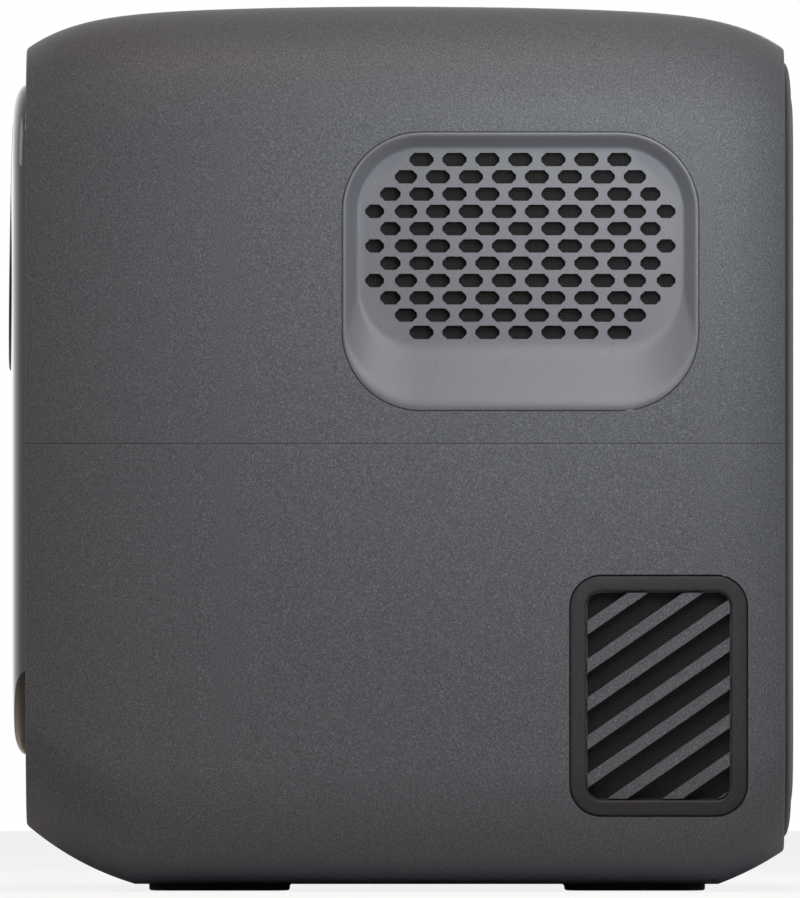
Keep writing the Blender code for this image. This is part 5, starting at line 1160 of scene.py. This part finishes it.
class PROJECTOR_OT_inside(ProjectorOperator, Operator):
    """Finish the light engine, the projection lens, the cooling and the boards"""

    bl_idname = "projector.finish_inside"
    bl_label = "Inner parts"

    def execute(self, context):
        paint_nodes("aluminium", "engine_base", "heat_sink")
        paint_nodes("copper", "led_board", "heat_pipe_left", "heat_pipe_right")
        paint_nodes("black", "engine_tower", "mirror_hood", "lens_holder", "lens_barrel")
        paint_nodes("black", "fan_frame", "fan_rotor", "engine_fan_frame", "engine_fan_rotor")
        paint_nodes("optic", "led_lens", "fresnel_in", "fresnel_out")
        paint_nodes("panel_filter", "lcd_panel")
        paint_nodes("lens", "lens_rear_glass")
        paint_nodes("mirror", "fold_mirror")
        paint_nodes("steel", "focus_motor", "focus_screw")
        paint_nodes("board", "main_board", "power_board")
        paint_nodes("aluminium", "board_heat_sink")
        return {"FINISHED"}


def soft_box(name, place, size, power, tint):
    """Square soft light at a place, turned to face the middle of the projector."""
    lamp = bpy.data.lights.new(name, "AREA")
    lamp.shape = "SQUARE"
    lamp.size = size
    lamp.energy = power
    lamp.color = linear(tint)
    made = bpy.data.objects.new(name, lamp)
    bpy.context.scene.collection.objects.link(made)
    made.location = place
    made.visible_camera = False
    made.rotation_euler = (Vector(LAMP_TARGET) - Vector(place)).to_track_quat("-Z", "Y").to_euler()
    return made


def white_studio(level):
    """World: white to the camera, in gloss and through glass, and a plain grey light otherwise."""
    world = bpy.data.worlds.new("studio")
    world.use_nodes = True
    tree = world.node_tree
    tree.nodes.clear()
    rays = add_node(tree, "ShaderNodeLightPath")
    seen = {0: rays.outputs["Is Camera Ray"], 1: rays.outputs["Is Transmission Ray"]}
    seen = add_node(tree, "ShaderNodeMath", seen, operation="MAXIMUM")
    seen = {0: seen.outputs["Value"], 1: rays.outputs["Is Glossy Ray"]}
    seen = add_node(tree, "ShaderNodeMath", seen, operation="MAXIMUM")
    plain = add_node(tree, "ShaderNodeBackground", {"Color": (1, 1, 1, 1), "Strength": level})
    white = add_node(tree, "ShaderNodeBackground", {"Color": (1, 1, 1, 1), "Strength": 1.0})
    mixed = {0: seen.outputs["Value"], 1: plain.outputs[0], 2: white.outputs[0]}
    mixed = add_node(tree, "ShaderNodeMixShader", mixed)
    add_node(tree, "ShaderNodeOutputWorld", {"Surface": mixed.outputs["Shader"]})
    bpy.context.scene.world = world


def pale_floor():
    """Pale matt floor disc, lifted to white for the camera while it keeps the shadow."""
    angle = np.linspace(0, 2 * math.pi, 96, endpoint=False)
    circle = np.stack([np.cos(angle), np.sin(angle)], axis=-1) * FLOOR_RADIUS
    rows = np.array([np.insert(circle * share, 2, 0, axis=1) for share in (1.0, 0.001)])
    floor = grid_piece("studio_floor", rows, wrap_columns=True)
    made, tree, shader = new_material("pale_matt_floor", roughness=0.9, specular_ior_level=0.0)
    place = place_on_object(tree)
    noise = add_node(tree, "ShaderNodeTexNoise", {"Vector": place, "Scale": 40.0})
    stops = [(0.3, linear("#f4f4f3")), (0.7, linear("#f7f7f6"))]
    ramp = add_node(tree, "ShaderNodeValToRGB", {"Fac": noise.outputs["Fac"]}, stops)
    tree.links.new(ramp.outputs["Color"], shader.inputs["Base Color"])
    rays = add_node(tree, "ShaderNodeLightPath")
    share = {0: rays.outputs["Is Camera Ray"], 1: 0.85}
    share = add_node(tree, "ShaderNodeMath", share, operation="MULTIPLY")
    glow = add_node(tree, "ShaderNodeEmission", {"Color": (1, 1, 1, 1), "Strength": 1.0})
    mixed = {0: share.outputs["Value"], 1: shader.outputs[0], 2: glow.outputs[0]}
    mixed = add_node(tree, "ShaderNodeMixShader", mixed)
    tree.links.new(mixed.outputs["Shader"], tree.nodes["Material Output"].inputs["Surface"])
    floor.data.materials.append(made)


class PROJECTOR_OT_stage(ProjectorOperator, Operator):
    """Set up the floor, the lights and the long lens on the projector's right side"""

    bl_idname = "projector.make_stage"
    bl_label = "Stage"

    def execute(self, context):
        scene = context.scene
        scene.view_settings.view_transform = "Standard"
        white_studio(0.07)
        pale_floor()
        for lamp in LAMPS:
            soft_box(*lamp)
        camera = bpy.data.cameras.new("photo_camera")
        viewer = bpy.data.objects.new("photo_camera", camera)
        scene.collection.objects.link(viewer)
        viewer.location = (CAMERA_DISTANCE, 0, CAMERA_HEIGHT)
        viewer.rotation_euler = (math.radians(90), 0, math.radians(90))
        camera.sensor_width = FILM_WIDTH
        camera.lens = FILM_WIDTH * (CAMERA_DISTANCE - SHELL_HIGH[0]) / FRAME_HEIGHT
        camera.clip_end = 100
        scene.camera = viewer
        return {"FINISHED"}


STEPS = (
    PROJECTOR_OT_stage, PROJECTOR_OT_case, PROJECTOR_OT_grilles, PROJECTOR_OT_front,
    PROJECTOR_OT_rear, PROJECTOR_OT_louvres, PROJECTOR_OT_fittings, PROJECTOR_OT_inside,
)


class PROJECTOR_PT_panel(Panel):
    """Buttons and settings of the projector"""

    bl_label = "Projector"
    bl_idname = "PROJECTOR_PT_panel"
    bl_space_type = "VIEW_3D"
    bl_region_type = "UI"
    bl_category = "Projector"

    def draw(self, context):
        layout = self.layout
        for group in (context.scene.projector_sizes, context.scene.projector_colours):
            for name in group.bl_rna.properties.keys():
                if name not in ("rna_type", "name"):
                    layout.prop(group, name)
        for step in STEPS:
            layout.operator(step.bl_idname)


CLASSES = (CaseSizes, CaseColours, *STEPS, PROJECTOR_PT_panel)


def register():
    """Register the classes and hang the settings on the scene."""
    for cls in CLASSES:
        bpy.utils.register_class(cls)
    bpy.types.Scene.projector_sizes = PointerProperty(type=CaseSizes)
    bpy.types.Scene.projector_colours = PointerProperty(type=CaseColours)


def unregister():
    """Take the settings off the scene and unregister the classes."""
    del bpy.types.Scene.projector_colours
    del bpy.types.Scene.projector_sizes
    for cls in reversed(CLASSES):
        bpy.utils.unregister_class(cls)


def main():
    """Make every piece in order."""
    register()
    for step in STEPS:
        group, name = step.bl_idname.split(".")
        getattr(getattr(bpy.ops, group), name)()


if __name__ == "__main__":
    main()
